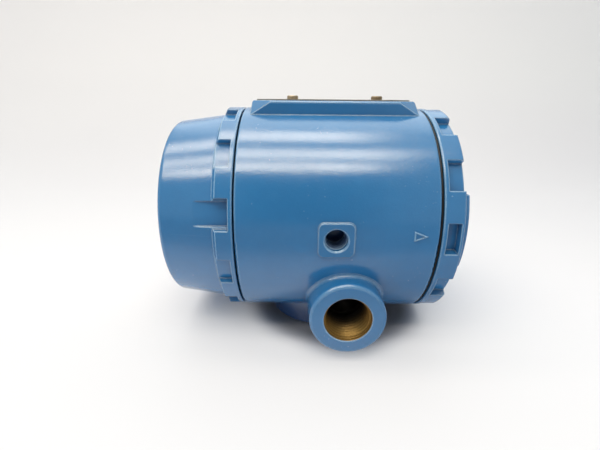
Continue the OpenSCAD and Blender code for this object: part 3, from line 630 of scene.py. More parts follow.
        skin = surface.remap(mottled["Drift"], *DRIFT, self.gloss - 0.03, self.gloss + 0.05)
        skin = skin + dusty["Film"] * 0.6 + chips * 0.25
        metal_skin = surface.remap(metal["Drift"], *DRIFT, 0.38, 0.52)
        height = EFFECTS.grain.use(surface, Broad=1050.0, Fine=2200.0, Balance=0.4)["Height"]
        peeled = surface.bump(height, 0.6, self.peel, rounded)
        return surface.finish({
            "Base Color": surface.mix(bare, paint, bore_shaded),
            "Roughness": skin * (1.0 - bare) + metal_skin * bare,
            "Metallic": bare * 0.75,
            "Normal": surface.bump(chips, 0.6, self.chip, peeled, invert=True),
            "IOR": self.index,
            "Specular Tint": self.tint})


@dataclass(frozen=True)
class Metal:
    """A metal, cast, turned or brushed.

    Attributes:
        colour: Its colour.
        stain: What it drifts towards.
        rough: Mean roughness.
        brushed: Whether it has drawn lines.
        edge: Rounding radius of its edges in shading, in metres.
        wear: How much of its edges is rubbed bright.
        shine: Metallic share.
    """

    colour: Colour
    stain: Colour
    rough: float = 0.35
    brushed: bool = False
    edge: float = 0.18 * MM
    wear: float = 0.55
    shine: float = 1.0

    def material(self, name: str) -> bpy.types.Material:
        """Build the material under its name."""
        surface = Surface(name)
        rounded, edge = surface.soft_edges(self.edge)
        mottled = EFFECTS.mottle.use(surface, Colour=self.colour, Other=self.stain,
                                     Scale=140.0, Amount=0.85)
        worn = EFFECTS.edge_wear.use(surface, Edge=edge, Amount=self.wear, Scale=700.0)["Mask"]
        bright = tuple(min(1.0, 1.35 * channel) for channel in self.colour[:3]) + (1.0,)
        rough = surface.remap(mottled["Drift"], *DRIFT, self.rough - 0.07, self.rough + 0.10)
        if self.brushed:
            height, depth = EFFECTS.brushed.use(surface, Scale=1600.0)["Lines"], 0.02 * MM
            rough = rough + surface.remap(height, 0.35, 0.65, -0.08, 0.12)
        else:
            grain = EFFECTS.grain.use(surface, Broad=1500.0, Fine=6000.0, Balance=0.4)
            height, depth = grain["Height"], 0.012 * MM
        return surface.finish({
            "Base Color": surface.mix(worn, mottled["Colour"], bright),
            "Roughness": rough,
            "Metallic": self.shine,
            "Normal": surface.bump(height, 0.5, depth, rounded)})


@dataclass(frozen=True)
class Moulding:
    """A moulded plastic, rubber or potting compound.

    Attributes:
        colour: Its colour.
        other: What it drifts towards.
        rough: Mean roughness.
        grain: Depth of its grain in metres.
        dust: How dusty it is.
        edge: Rounding radius of its edges in shading, in metres.
    """

    colour: Colour
    other: Colour
    rough: float = 0.45
    grain: float = 0.03 * MM
    dust: float = 0.15
    edge: float = 0.3 * MM

    def material(self, name: str) -> bpy.types.Material:
        """Build the material under its name."""
        surface = Surface(name)
        rounded, edge = surface.soft_edges(self.edge)
        mottled = EFFECTS.mottle.use(surface, Colour=self.colour, Other=self.other,
                                     Scale=70.0, Amount=0.7)
        dusty = EFFECTS.dust.use(surface, Colour=mottled["Colour"], Dust=srgb(150, 148, 142),
                                 Amount=self.dust)
        rubbed = EFFECTS.edge_wear.use(surface, Edge=edge, Amount=0.6, Scale=500.0)["Mask"]
        pale = tuple(0.75 * channel + 0.10 for channel in self.colour[:3]) + (1.0,)
        rough = surface.remap(mottled["Drift"], *DRIFT, self.rough - 0.05, self.rough + 0.08)
        height = EFFECTS.grain.use(surface, Broad=1300.0, Fine=4200.0, Balance=0.5)["Height"]
        return surface.finish({
            "Base Color": surface.mix(rubbed * 0.4, dusty["Colour"], pale),
            "Roughness": rough + dusty["Film"] * 0.5,
            "Normal": surface.bump(height, 0.6, self.grain, rounded)})


@dataclass(frozen=True)
class WindowGlass:
    """Toughened window glass with a faint green body and a few smears.

    Attributes:
        tint: Colour of the glass.
        index: Its refractive index.
    """

    tint: Colour = srgb(238, 247, 243)
    index: float = 1.5

    def material(self, name: str) -> bpy.types.Material:
        """Build the material under its name."""
        surface = Surface(name)
        smear, ripple = surface.noise(60.0, 4.0, 0.6), surface.noise(25.0, 1.0, 0.5)
        return surface.finish({
            "Base Color": self.tint,
            "Roughness": surface.remap(smear, 0.45, 0.75, 0.0, 0.07),
            "IOR": self.index,
            "Transmission Weight": 1.0,
            "Normal": surface.bump(ripple, 0.05, 0.02 * MM)})


@dataclass(frozen=True)
class PanelGlass:
    """Face of a liquid-crystal panel: grey-green, with a soft sheen and a fine grain.

    Attributes:
        colour: Colour of the unlit panel.
        other: Its drift.
    """

    colour: Colour = srgb(150, 160, 140)
    other: Colour = srgb(138, 150, 134)

    def material(self, name: str) -> bpy.types.Material:
        """Build the material under its name."""
        surface = Surface(name)
        mottled = EFFECTS.mottle.use(surface, Colour=self.colour, Other=self.other,
                                     Scale=45.0, Amount=0.6)
        height = EFFECTS.grain.use(surface, Broad=3000.0, Fine=7000.0, Balance=0.6)["Height"]
        return surface.finish({
            "Base Color": mottled["Colour"],
            "Roughness": surface.remap(mottled["Drift"], *DRIFT, 0.12, 0.22),
            "Normal": surface.bump(height, 0.2, 0.01 * MM),
            "Coat Weight": 0.6,
            "Coat Roughness": 0.05})


FINISHES = {
    "housing_paint": CastPaint(Zone.HOUSING),
    "display_cover_paint": CastPaint(Zone.DISPLAY_COVER),
    "terminal_cover_paint": CastPaint(Zone.TERMINAL_COVER),
    "raised_mark_paint": CastPaint(colour=srgb(96, 156, 204), deep=srgb(78, 140, 190)),
    # A darker copy of the housing paint with weak gloss: painted shade on the bracket-hole
    # threads.
    "bracket_hole_paint": CastPaint(colour=srgb(12, 44, 104), deep=srgb(8, 34, 84), gloss=0.4,
                                    index=1.3),
    "yellow_chromate": Metal(srgb(160, 126, 62), srgb(118, 88, 38), 0.42, wear=0.25, shine=0.75),
    "brushed_plate": Metal(srgb(196, 187, 174), srgb(166, 152, 134), 0.36, brushed=True,
                           wear=0.4, shine=0.6),
    "bronze_drive_screw": Metal(srgb(186, 168, 142), srgb(132, 112, 86), 0.38, edge=0.5 * MM,
                                shine=0.8),
    "screw_steel": Metal(srgb(188, 188, 184), srgb(142, 138, 130), 0.28),
    "nickel_brass": Metal(srgb(200, 184, 150), srgb(158, 136, 96), 0.30),
    "retainer_steel": Metal(srgb(70, 70, 72), srgb(44, 44, 46), 0.42),
    "seal_rubber": Moulding(srgb(12, 12, 13), srgb(20, 20, 21), 0.48, 0.02 * MM, 0.02),
    "black_plastic": Moulding(srgb(30, 31, 33), srgb(40, 41, 43), 0.46),
    "potting_compound": Moulding(srgb(22, 24, 26), srgb(32, 33, 36), 0.30, 0.05 * MM, 0.10),
    "light_plastic": Moulding(srgb(214, 212, 204), srgb(196, 192, 180), 0.40, dust=0.05),
    "insulator": Moulding(srgb(176, 160, 126), srgb(150, 132, 98), 0.5, dust=0.05),
    "display_segments": Moulding(srgb(96, 106, 94), srgb(88, 98, 88), 0.3, 0.01 * MM, 0.0),
    "window_glass": WindowGlass(),
    "panel_glass": PanelGlass(),
}


def dress(materials: Materials, **looks: str) -> None:
    """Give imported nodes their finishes.

    Args:
        materials: The materials by name.
        **looks: Name of each node's finish.
    """
    for node, finish in looks.items():
        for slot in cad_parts[node].material_slots:
            slot.link = "DATA"
            slot.material = materials[finish]
        log.info("dressed %s in %s", node, finish)


def keep(piece: bpy.types.Object, body: str) -> None:
    """Attach a finished piece to the body that carries it, and log it.

    Args:
        piece: The piece.
        body: The body that carries it.
    """
    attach(piece, body)
    log.info("piece %s rides on %s, %d faces", piece.name, body, len(piece.data.polygons))


def solid_piece(name: str, mesh: bpy.types.Mesh, material: bpy.types.Material,
                crease: float = 35.0) -> bpy.types.Object:
    """Close a mesh, turn its faces outwards and make it an object.

    Args:
        name: The piece's name.
        mesh: Its mesh, already in place.
        material: Its material.
        crease: Angle past which an edge stays sharp, in degrees.

    Returns:
        The piece, at the origin.
    """
    shape = bmesh.new()
    shape.from_mesh(mesh)
    bmesh.ops.remove_doubles(shape, verts=shape.verts, dist=2e-6)
    bmesh.ops.dissolve_degenerate(shape, edges=shape.edges, dist=1e-6)
    bmesh.ops.recalc_face_normals(shape, faces=shape.faces)
    for face in shape.faces:
        face.smooth = True
    for edge in shape.edges:
        bend = edge.calc_face_angle(0.0) if len(edge.link_faces) == 2 else math.pi
        edge.smooth = bend < math.radians(crease)
    shape.to_mesh(mesh)
    shape.free()
    mesh.name = name
    mesh.materials.clear()
    mesh.materials.append(material)
    piece = bpy.data.objects.new(name, mesh)
    bpy.context.scene.collection.objects.link(piece)
    return piece


def skin(name: str, rows: list[list[Point]], closed: bool = True) -> bpy.types.Mesh:
    """Join rows of points into a skin.

    Args:
        name: The mesh's name.
        rows: The rows, all with the same number of points.
        closed: Whether each row closes on itself and the last row meets the first.

    Returns:
        The mesh.
    """
    wide, high, gap = len(rows[0]), len(rows), 0 if closed else 1
    faces = []
    for row in range(high - gap):
        here, there = row * wide, (row + 1) % high * wide
        for corner in range(wide - gap):
            after = (corner + 1) % wide
            faces.append((here + corner, here + after, there + after, there + corner))
    mesh = bpy.data.meshes.new(name)
    mesh.from_pydata([point for row in rows for point in row], [], faces)
    return mesh


class Rule(Group):
    """A Geometry Nodes tree with named inputs, whose result becomes a plain mesh."""

    tree_kind = "GeometryNodeTree"

    def __init__(self, name: str, inputs: dict[str, float | int]) -> None:
        """Make the tree, which puts out one geometry.

        Args:
            name: The tree's name.
            inputs: Default of each input; a whole number makes an integer socket.
        """
        super().__init__(name, inputs, "Geometry")

    def finish(self, geometry: Term) -> None:
        """End the tree: real instances, then the material.

        Args:
            geometry: The geometry to put out.
        """
        real = self.graph.add("GeometryNodeRealizeInstances", {"Geometry": geometry})[0]
        self.paint = self.graph.add("GeometryNodeSetMaterial", {"Geometry": real})
        self.put(Geometry=self.paint[0])

    def make(self, name: str, material: bpy.types.Material, values: dict[str, float | int],
             place: Matrix) -> bpy.types.Object:
        """Evaluate the tree and keep its mesh, with its place applied.

        Args:
            name: The piece's name.
            material: Its material.
            values: Values of the named inputs.
            place: Where the tree's own origin and +Z go.

        Returns:
            The finished piece, its object at the origin.
        """
        seed = bpy.data.objects.new(name + "_rule", bpy.data.meshes.new(name + "_seed"))
        bpy.context.scene.collection.objects.link(seed)
        self.paint.inputs["Material"].default_value = material
        modifier = seed.modifiers.new("rule", "NODES")
        modifier.node_group = self.tree
        for label, value in values.items():
            modifier[self.identifiers[label]] = value
        graph = bpy.context.evaluated_depsgraph_get()
        mesh = bpy.data.meshes.new_from_object(seed.evaluated_get(graph))
        bpy.data.objects.remove(seed)
        mesh.transform(place)
        return solid_piece(name, mesh, material)


def screw_thread_rule() -> Rule:
    """Build the tree of a screw thread: a closed sleeve whose one side follows a helix.

    The grid's rows climb the helix. Three more rows close the sleeve over its backing.

    Returns:
        The rule. A negative Depth cuts the thread into a bore; Backing closes the sleeve.
    """
    rule = Rule("screw_thread", {"Radius": 0.01, "Length": 0.02, "Pitch": 0.002, "Depth": 0.001,
                                 "Backing": 0.0098, "Phase": 0.0, "Taper": 0.0, "Around": 72})
    graph, given = rule.graph, rule.given
    length, pitch = given["Length"], given["Pitch"]
    rows_a_turn, flank, root, run_out = 8.0, 2.9, 0.25, 0.7
    thread_rows = (graph.math("CEIL", length / pitch) + 2.0) * rows_a_turn + 1.0
    all_rows = thread_rows + 3.0
    grid = graph.add("GeometryNodeMeshGrid", {
        "Size X": 1.0, "Size Y": 1.0,
        "Vertices X": given["Around"] + 1.0, "Vertices Y": all_rows})[0]
    spot = graph.split(graph.add("GeometryNodeInputPosition")[0])
    turn = spot["X"] + 0.5
    row = graph.math("ROUND", (spot["Y"] + 0.5) * (all_rows - 1.0))
    step = row / rows_a_turn
    climb = (step + turn + given["Phase"] - 2.0) * pitch
    along = graph.math("MINIMUM", graph.larger(climb, 0.0), length)
    crest = (graph.math("PINGPONG", step, 0.5) * flank - root).clamped()
    from_end = graph.math("MINIMUM", along, length - along)
    fade = (from_end / (pitch * run_out)).clamped()
    wall = given["Radius"] + given["Depth"] * crest * fade - given["Taper"] * along
    past, last = row > thread_rows - 0.5, row > thread_rows + 1.5
    back = given["Backing"] * (1.0 - last) + given["Radius"] * last
    far_end = length * (row < thread_rows + 0.5)
    kept = 1.0 - past
    radius = wall * kept + back * past
    angle = turn * (2 * math.pi)
    target = graph.join(radius * graph.math("COSINE", angle), radius * graph.math("SINE", angle),
                        along * kept + far_end * past)
    moved = graph.add("GeometryNodeSetPosition", {"Geometry": grid, "Position": target})[0]
    rule.finish(graph.add("GeometryNodeMergeByDistance", {"Geometry": moved, "Distance": 2e-6})[0])
    return rule


def facing(origin: tuple[float, float, float], outward: tuple[float, float, float]) -> Matrix:
    """Frame whose +Z points outward, level, and whose +Y points up.

    Args:
        origin: Its origin.
        outward: Its +Z.

    Returns:
        The frame as a matrix.
    """
    up, z = Vector((0, 0, 1)), Vector(outward)
    turn = Matrix((up.cross(z), up, z)).transposed().to_4x4()
    return Matrix.Translation(origin) @ turn


@dataclass(frozen=True)
class Bore:
    """A threaded bore that enters the housing from the front and from the rear.

    Attributes:
        name: Its name.
        x: Where its axis is along X.
        z: Where its axis is along Z.
        start: How far from the middle plane its thread starts.
        diameter: Its diameter.
        pitch: Pitch of its thread.
        length: Length of its thread.
        skin: How far the thread's root stands in from the bore.
        depth: Depth of its thread.
        around: How many faces go round.
        taper: How much its radius shrinks for each metre.
    """

    name: str
    x: float
    z: float
    start: float
    diameter: float
    pitch: float
    length: float
    skin: float
    depth: float
    around: int
    taper: float = 0.0

    def cut(self, thread: Rule, side: int, paint: bpy.types.Material) -> None:
        """Cut its thread on one side.

        Args:
            thread: The screw thread's rule.
            side: -1 for the front or 1 for the rear.
            paint: The thread's material.
        """
        radius, end = self.diameter / 2 - 0.02 * MM, "front" if side < 0 else "rear"
        piece = thread.make(f"{self.name}_thread_{end}", paint, {
            "Radius": radius - self.skin, "Length": self.length, "Pitch": self.pitch,
            "Depth": -self.depth, "Backing": radius, "Taper": self.taper, "Around": self.around},
            facing((self.x, side * self.start, self.z), (0, -side, 0)))
        keep(piece, "transmitter_body")


@dataclass
class CastHousing:
    """The painted casting: its finish, the threads in its bores and the raised arrow.

    Attributes:
        conduit: The conduit entries.
        bracket: The bracket holes.
        mouth_r: Radius of the bores for the cover necks.
        mouth_pitch: Pitch of their threads.
        mouth_l: Length of their threads.
        barrel_r: Radius of the barrel.
    """

    conduit: Bore = Bore("conduit", CONDUIT_X, CONDUIT_Z, CONDUIT_REACH - 1.0 * MM, 20.5 * MM,
                         1.81 * MM, 17.6 * MM, 0.12 * MM, 0.85 * MM, 96, 0.031)
    bracket: Bore = Bore("bracket", BRACKET_X, AXIS_Z, BRACKET_REACH - 2.0 * MM, 9.5 * MM,
                         1.5875 * MM, 9.2 * MM, 0.08 * MM, 0.6 * MM, 64)
    mouth_r: float = 46.0 * MM
    mouth_pitch: float = 2.0 * MM
    mouth_l: float = 8.6 * MM
    barrel_r: float = 51.0 * MM

    def build(self, materials: Materials, thread: Rule) -> None:
        """Dress the casting and add what it carries.

        Args:
            materials: The materials by name.
            thread: The screw thread's rule.
        """
        dress(materials, housing="housing_paint")
        for side in (-1, 1):
            self.conduit.cut(thread, side, materials["housing_paint"])
            self.bracket.cut(thread, side, materials["bracket_hole_paint"])
        for name, x, inward in (("display", DISPLAY_END_X, 1), ("terminal", TERMINAL_END_X, -1)):
            piece = thread.make(f"mouth_thread_{name}", materials["yellow_chromate"], {
                "Radius": self.mouth_r - 0.03 * MM, "Length": self.mouth_l,
                "Pitch": self.mouth_pitch, "Depth": -0.14 * MM,
                "Backing": self.mouth_r - 0.01 * MM, "Around": 128},
                facing((x + inward * SEAT_DEPTH, 0, AXIS_Z), (inward, 0, 0)))
            keep(piece, "transmitter_body")
        self._arrow(materials["raised_mark_paint"])

    def _arrow(self, paint: bpy.types.Material) -> None:
        """Raise a plain outline arrow on the barrel's front, pointing at the terminal cover."""
        tail, tip, high, low = 35.3 * MM, 39.9 * MM, 3.95 * MM, 0.35 * MM
        half_width, rise, steps = 0.31 * MM, 0.5 * MM, 8
        section = ((-1.0, -0.25), (-1.0, 0.55), (-0.6, 1.0), (0.6, 1.0), (1.0, 0.55), (1.0, -0.25))
        corners = [Vector(at) for at in ((tail, high), (tip, (high + low) / 2), (tail, low))]
        sides = [(after - here).orthogonal().normalized()
                 for here, after in zip(corners, corners[1:] + corners[:1])]
        rings = []
        for index, (here, side) in enumerate(zip(corners, sides)):
            after = corners[(index + 1) % len(corners)]
            mitre = (side + sides[index - 1]).normalized()
            for step in range(steps):
                out, reach = (side, 1.0) if step else (mitre, 1.0 / mitre.dot(sides[index - 1]))
                ring = []
                for across, up in section:
                    spot = here.lerp(after, step / steps) + out * (across * reach * half_width)
                    angle, radius = spot.y / self.barrel_r, self.barrel_r + up * rise
                    ring.append((spot.x, -radius * math.cos(angle),
                                 AXIS_Z + radius * math.sin(angle)))
                rings.append(ring)
        mesh = skin("terminal_side_arrow", rings)
        keep(solid_piece("terminal_side_arrow", mesh, paint, 60.0),
             "transmitter_body")


@dataclass
class ScrewedCover:
    """One screwed cover: its paint, its O-ring and the thread on its neck.

    Attributes:
        name: The cover's node.
        seal: Its O-ring's node.
        body: The body that carries the cover.
        carriage: The body that carries the O-ring.
        face_x: The barrel's end face.
        outward: Which way the cover comes off along X.
        neck_r: Radius of its neck.
        pitch: Pitch of its thread.
        gap: Width of the seam.
        squeeze_r: How far out the rubber is squeezed in the seam, or 0 where none shows.
    """

    name: str
    seal: str
    body: str
    carriage: str
    face_x: float
    outward: int
    neck_r: float = 45.6 * MM
    pitch: float = 2.0 * MM
    gap: float = 1.2 * MM
    squeeze_r: float = 0.0

    def build(self, materials: Materials, thread: Rule) -> None:
        """Dress the cover and cut the thread on its neck.

        Args:
            materials: The materials by name.
            thread: The screw thread's rule.
        """
        dress(materials, **{self.name: self.name + "_paint", self.seal: "seal_rubber"})
        piece = thread.make(f"{self.name}_thread", materials["yellow_chromate"], {
            "Radius": self.neck_r + 0.01 * MM, "Length": 6.4 * MM, "Pitch": self.pitch,
            "Depth": 0.14 * MM, "Backing": self.neck_r - 0.03 * MM, "Phase": 0.5, "Around": 128},
            facing((self.face_x - self.outward * 9.4 * MM, 0, AXIS_Z), (self.outward, 0, 0)))
        keep(piece, self.body)
        if self.squeeze_r:
            self._squeezed_lip(materials["seal_rubber"])

    def _squeezed_lip(self, rubber: bpy.types.Material) -> None:
        """Fill the seam with the rubber that the cover squeezes out of its groove."""
        inner, slack, around = self.squeeze_r - 2.2 * MM, 0.04 * MM, 128
        half = self.gap / 2 - slack
        bows = [math.radians(degrees) for degrees in range(0, 181, 20)]
        crown = [(half * math.cos(bow), self.squeeze_r - half + half * math.sin(bow))
                 for bow in bows]
        middle_x = self.face_x + self.outward * self.gap / 2
        rings = []
        for step in range(around):
            angle = 2 * math.pi * step / around
            ripple = 1.0 + 0.0012 * math.sin(7 * angle) + 0.0008 * math.sin(19 * angle + 1.0)
            rings.append([(middle_x + self.outward * along, radius * ripple * math.sin(angle),
                           AXIS_Z + radius * ripple * math.cos(angle))
                          for along, radius in [(half, inner)] + crown + [(-half, inner)]])
        mesh = skin(self.seal + "_lip", rings)
        keep(solid_piece(self.seal + "_lip", mesh, rubber), self.carriage)


@dataclass
class DisplayWindow:
    """The glass of the display cover, with its gasket and its retaining ring."""

    def build(self, materials: Materials) -> None:
        """Dress the window's pieces."""
        dress(materials, window_glass="window_glass", window_gasket="seal_rubber",
              window_retainer="retainer_steel")


@dataclass
class Electronics:
    """The potted module, its switches and the display on it.

    Attributes:
        digits: How many digits the display has.
        digit_w: Width of a digit.
        digit_h: Height of a digit.
        pitch: Distance between digits.
        stroke: Width of a segment.
        rise: Thickness of a segment.
        above: How far the digits lie above the panel's middle.
    """

    digits: int = 5
    digit_w: float = 4.6 * MM
    digit_h: float = 8.6 * MM
    pitch: float = 7.0 * MM
    stroke: float = 0.85 * MM
    rise: float = 0.12 * MM
    above: float = 2.2 * MM

    def build(self, materials: Materials) -> None:
        """Dress the module and add the display's segments."""
        dress(materials, electronics_module="potting_compound", module_screws="screw_steel",
              alarm_switch="light_plastic", security_switch="light_plastic",
              display_housing="black_plastic", display_panel="panel_glass",
              display_screws="screw_steel", display_plug="black_plastic")
        low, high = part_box("display_panel")
        middle = (low.x, (low.y + high.y) / 2, (low.z + high.z) / 2 + self.above)
        piece = self._segments_rule().make("display_segments", materials["display_segments"], {
            "Digits": self.digits, "Width": self.digit_w, "Height": self.digit_h,
            "Pitch": self.pitch, "Stroke": self.stroke, "Rise": self.rise},
            facing(middle, (-1, 0, 0)))
        keep(piece, "transmitter_body")

    @staticmethod
    def _segments_rule() -> Rule:
        """Build the tree of a row of digits, each of seven segments, and return it."""
        rule = Rule("display_segments", {"Digits": 5, "Width": 0.005, "Height": 0.009,
                                         "Pitch": 0.007, "Stroke": 0.0009, "Rise": 0.00006})
        graph, given = rule.graph, rule.given
        parts = graph.add("GeometryNodeJoinGeometry")
        stroke, half_w, half_h = given["Stroke"], given["Width"] / 2.0, given["Height"] / 2.0
        inset, quarter_h = stroke * 1.3, given["Height"] / 4.0
        level, upright = (given["Width"] - inset, stroke), (stroke, half_h - inset)
        for across, up in ((0, 1), (0, 0), (0, -1), (-1, 1), (1, 1), (-1, -1), (1, -1)):
            size = graph.join(*(upright if across else level), given["Rise"])
            spot = graph.join(half_w * across, (quarter_h if across else half_h) * up)
            bar = graph.add("GeometryNodeMeshCube", {"Size": size})[0]
            moved = graph.add("GeometryNodeTransform", {"Geometry": bar, "Translation": spot})[0]
            graph.feed(parts.inputs[0], moved)
        start = graph.join((given["Digits"] - 1.0) * given["Pitch"] * -0.5)
        row = graph.add("GeometryNodeMeshLine", {
            "Count": given["Digits"], "Offset": graph.join(given["Pitch"]),
            "Start Location": start})[0]
        rule.finish(graph.add("GeometryNodeInstanceOnPoints", {
            "Points": row, "Instance": parts[0]})[0])
        return rule


@dataclass
class Terminals:
    """The terminal block with its screws and clamps, the ground screw and the feedthrough."""

    def build(self, materials: Materials) -> None:
        """Dress the wiring bay's pieces."""
        dress(materials, terminal_block="black_plastic", terminal_clamps="nickel_brass",
              terminal_screws="screw_steel", block_screws="screw_steel",
              ground_clamp="nickel_brass", ground_screw="screw_steel",
              feedthrough="insulator", feedthrough_pins="nickel_brass")


@dataclass
class Nameplate:
    """The bare plate on the pad and its two drive screws."""

    def build(self, materials: Materials) -> None:
        """Dress the plate and its screws."""
        dress(materials, nameplate="brushed_plate", nameplate_screws="bronze_drive_screw")


@dataclass(frozen=True)
class Strip:
    """A strip lamp over the barrel, along its axis, facing down, its right end fading out.

    Attributes:
        name: Its name.
        y: Its middle line.
        width: Its width.
        right: Its right end.
        radiance: Its brightness where it doesn't fade.
        left: How far it reaches to the left.
        height: How high it hangs.
        fade: Length of the fading end.
        colour: Its colour.
    """

    name: str
    y: float
    width: float
    right: float
    radiance: float
    left: float = 0.95
    height: float = 1.0
    fade: float = 0.24
    colour: tuple[float, float, float] = (1.0, 0.93, 0.80)

    def hang(self) -> None:
        """Hang the lamp."""
        length = self.right + self.left
        data = bpy.data.lights.new(self.name, "AREA")
        data.shape, data.size, data.size_y = "RECTANGLE", length, self.width
        data.energy = math.pi * length * self.width * self.radiance
        data.color = self.colour
        data.use_nodes = True
        graph = Graph(data.node_tree)
        along = graph.split(graph.add("ShaderNodeNewGeometry")["Parametric"])["X"]
        graph.feed(data.node_tree.nodes["Emission"].inputs["Strength"],
                   graph.remap(along, 1.0, 1.0 - self.fade / length))
        lamp = bpy.data.objects.new(self.name, data)
        lamp.location = (self.right - length / 2, self.y, self.height)
        bpy.context.scene.collection.objects.link(lamp)


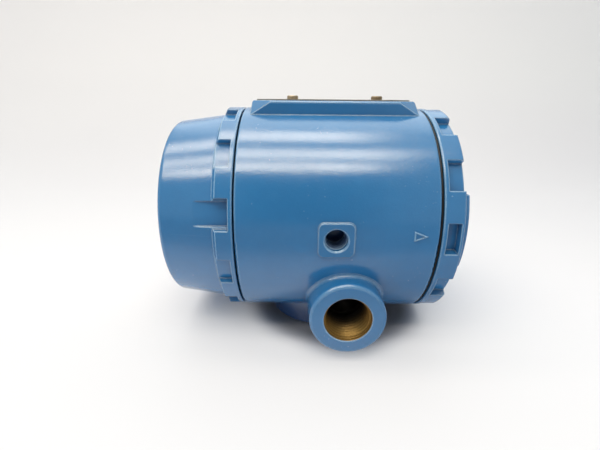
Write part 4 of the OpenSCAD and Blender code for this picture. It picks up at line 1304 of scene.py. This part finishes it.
@dataclass
class Studio:
    """Floor, backdrop, lamps and camera.

    Attributes:
        lens: Focal length on a 36 mm sensor.
        place: The camera's place, in millimetres.
        pitch: How far it looks down, in radians.
        yaw: Its turn from +Y, in radians.
        roll: Its roll, in radians.
        lamps: The lamps.
    """

    lens: float = 21.661
    place: tuple[float, float, float] = (-11.26, -188.73, 110.20)
    pitch: float = 0.328629
    yaw: float = -0.002686
    roll: float = 0.009133
    lamps: tuple[Strip, ...] = (Strip("strip_back", 0.09, 0.23, 0.31, 4.45),
                                Strip("strip_middle", -0.300, 0.20, 0.42, 4.8),
                                Strip("strip_front", -0.605, 0.21, 0.37, 6.0))

    def build(self) -> None:
        """Set the camera, the stage, the world and the lamps."""
        self._camera()
        self._sweep()
        self._world()
        for lamp in self.lamps:
            lamp.hang()

    def _camera(self) -> None:
        """Put the camera where the photograph was taken from."""
        data = bpy.data.cameras.new("camera")
        data.lens, data.sensor_width, data.sensor_fit = self.lens, 36.0, "HORIZONTAL"
        data.clip_start, data.clip_end = 0.005, 20.0
        forward = Vector((math.sin(self.yaw) * math.cos(self.pitch),
                          math.cos(self.yaw) * math.cos(self.pitch), -math.sin(self.pitch)))
        level = Vector((math.cos(self.yaw), -math.sin(self.yaw), 0.0))
        above = level.cross(forward)
        right = math.cos(self.roll) * level + math.sin(self.roll) * above
        up = -math.sin(self.roll) * level + math.cos(self.roll) * above
        turn = Matrix((right, up, -forward)).transposed().to_4x4()
        camera = bpy.data.objects.new("camera", data)
        camera.matrix_world = Matrix.Translation(Vector(self.place) * MM) @ turn
        bpy.context.scene.collection.objects.link(camera)
        bpy.context.scene.camera = camera

    def _sweep(self) -> None:
        """Lay a pale floor that curves up into a backdrop behind the object."""
        front, back, radius, top, half_width, drop = -2.2, 0.60, 0.35, 0.42, 3.0, 0.2 * MM
        steps = 16
        profile = [(front, 0.0), (back - radius, 0.0)]
        for step in range(1, steps + 1):
            angle = math.radians(90 * step / steps)
            profile.append((back - radius + radius * math.sin(angle),
                            radius - radius * math.cos(angle)))
        profile.append((back, top))
        rows = [[(x, y, z - drop) for x in (-half_width, half_width)] for y, z in profile]
        mesh = skin("sweep", rows, closed=False)
        mesh.shade_smooth()
        mesh.materials.append(self._paper())
        sweep = bpy.data.objects.new("sweep", mesh)
        bpy.context.scene.collection.objects.link(sweep)

    @staticmethod
    def _paper() -> bpy.types.Material:
        """Build the sweep's material.

        Its colour turns cooler and darker to the left and warmer up the backdrop, with painted
        shade on the backdrop's left. To the eye it carries a painted glow at the back and in front
        of the object, and a painted contact shadow where the foot touches it. In the object's
        gloss it is darker ahead, where the
        photographer stands: painted shade in its reflection.

        Returns:
            The material.
        """
        surface = Surface("pale_paper")
        x, y, z = (surface.place[axis] for axis in "XYZ")
        tone = surface.mix(surface.noise(3.0, 2.0, 0.5), srgb(229, 226, 230), srgb(234, 231, 234))
        tone = surface.mix(surface.remap(x, 0.12, -0.40, 0.0, 0.9), tone, srgb(220, 218, 222))
        warm = surface.remap(z, 0.02, 0.2) * surface.remap(z, 0.6, 0.25)
        tone = surface.mix(warm, tone, srgb(239, 237, 238))
        # Painted shade on the backdrop's left.
        shade = surface.remap(z, 0.0, 0.15) * surface.remap(x, 0.5, -0.7)
        tone = surface.mix(shade * 0.6, tone, srgb(217, 215, 219))
        surface.finish({"Base Color": tone, "Roughness": 0.85})

        rays = surface.add("ShaderNodeLightPath")
        mirrored = rays["Is Glossy Ray"] + rays["Is Transmission Ray"]
        seen = (rays["Is Camera Ray"] + mirrored).clamped()
        # Painted glow at the back, seen by the camera and in reflections.
        far = surface.remap(y, 0.1, 0.6, 0.0, 0.15) * surface.remap(x, -0.8, 0.8, 0.6, 0.8)
        glow = surface.add("ShaderNodeEmission", {"Color": (1.0, 0.995, 0.985, 1.0),
                                                  "Strength": seen * far})[0]
        lit = surface.add("ShaderNodeAddShader", {0: surface.shader[0], 1: glow})[0]
        away = surface.apart("XY", (CONDUIT_X, 0.0))
        # Painted glow in front of the object, away from the foot.
        front = surface.remap(y, 0.015, -0.05, 0.0, 0.5) * surface.remap(away, 0.041, 0.054)
        fill = surface.add("ShaderNodeEmission", {"Color": (0.96, 0.96, 0.955, 1.0)})[0]
        filled = surface.add("ShaderNodeMixShader", {0: seen * front, 1: lit, 2: fill})[0]
        # Painted contact shadow round the foot, seen by the camera; painted shade in reflections
        # ahead.
        contact = rays["Is Camera Ray"] * surface.remap(away, 0.048, 0.036, 0.0, 0.65)
        beside = surface.remap(x, -0.01, 0.06, 0.0, 0.6) * surface.remap(y, 0.0, -0.05)
        ahead = surface.larger(surface.remap(y, -0.03, -0.16, 0.0, 0.84), beside)
        unlit = surface.add("ShaderNodeBsdfDiffuse", {"Color": srgb(60, 60, 62)})[0]
        dark = surface.larger(rays["Is Glossy Ray"] * ahead, contact)
        surface.feed(surface.end,
                     surface.add("ShaderNodeMixShader", {0: dark, 1: filled, 2: unlit})[0])
        return surface.material

    @staticmethod
    def _world() -> None:
        """Light the scene from all round, less from the front, where the photographer stands."""
        world = bpy.data.worlds.new("studio")
        world.use_nodes = True
        graph = Graph(world.node_tree)
        way = graph.split(graph.add("ShaderNodeTexCoord")["Generated"])
        aside = abs(way["X"])
        ahead = graph.remap(way["Y"], -0.6, -0.8) * graph.remap(aside, 0.34, 0.10)
        behind = graph.remap(way["Y"], 0.15, 0.5) * graph.remap(aside, 0.50, 0.38, 0.2, 1.3)
        above = graph.remap(way["Z"], 0.80, 0.95, 0.0, 0.5)
        level = 0.40 - ahead * 0.30 + (behind + above)
        seen = graph.add("ShaderNodeLightPath")["Is Camera Ray"]
        back = world.node_tree.nodes["Background"].inputs
        graph.feed(back["Color"], graph.mix(seen, (0.90, 1.0, 1.04, 1.0),
                                            (0.98, 0.965, 0.955, 1.0)))
        graph.feed(back["Strength"], level * (1.0 - seen) + seen * 0.9)
        bpy.context.scene.world = world


def main() -> None:
    """Build the transmitter's looks and the studio, and report each piece."""
    logging.basicConfig(level=logging.INFO, format="%(name)s: %(message)s")
    bpy.context.scene.view_settings.view_transform = "Standard"
    materials = {name: finish.material(name) for name, finish in FINISHES.items()}
    thread = screw_thread_rule()
    CastHousing().build(materials, thread)
    ScrewedCover("display_cover", "display_seal", "display_cover_body", "display_cover_carriage",
                 DISPLAY_END_X, -1).build(materials, thread)
    ScrewedCover("terminal_cover", "terminal_seal", "terminal_cover_body",
                 "terminal_cover_carriage", TERMINAL_END_X, 1,
                 squeeze_r=50.35 * MM).build(materials, thread)
    for assembly in (DisplayWindow(), Electronics(), Terminals(), Nameplate()):
        assembly.build(materials)
    Studio().build()


if __name__ == "__main__":
    main()
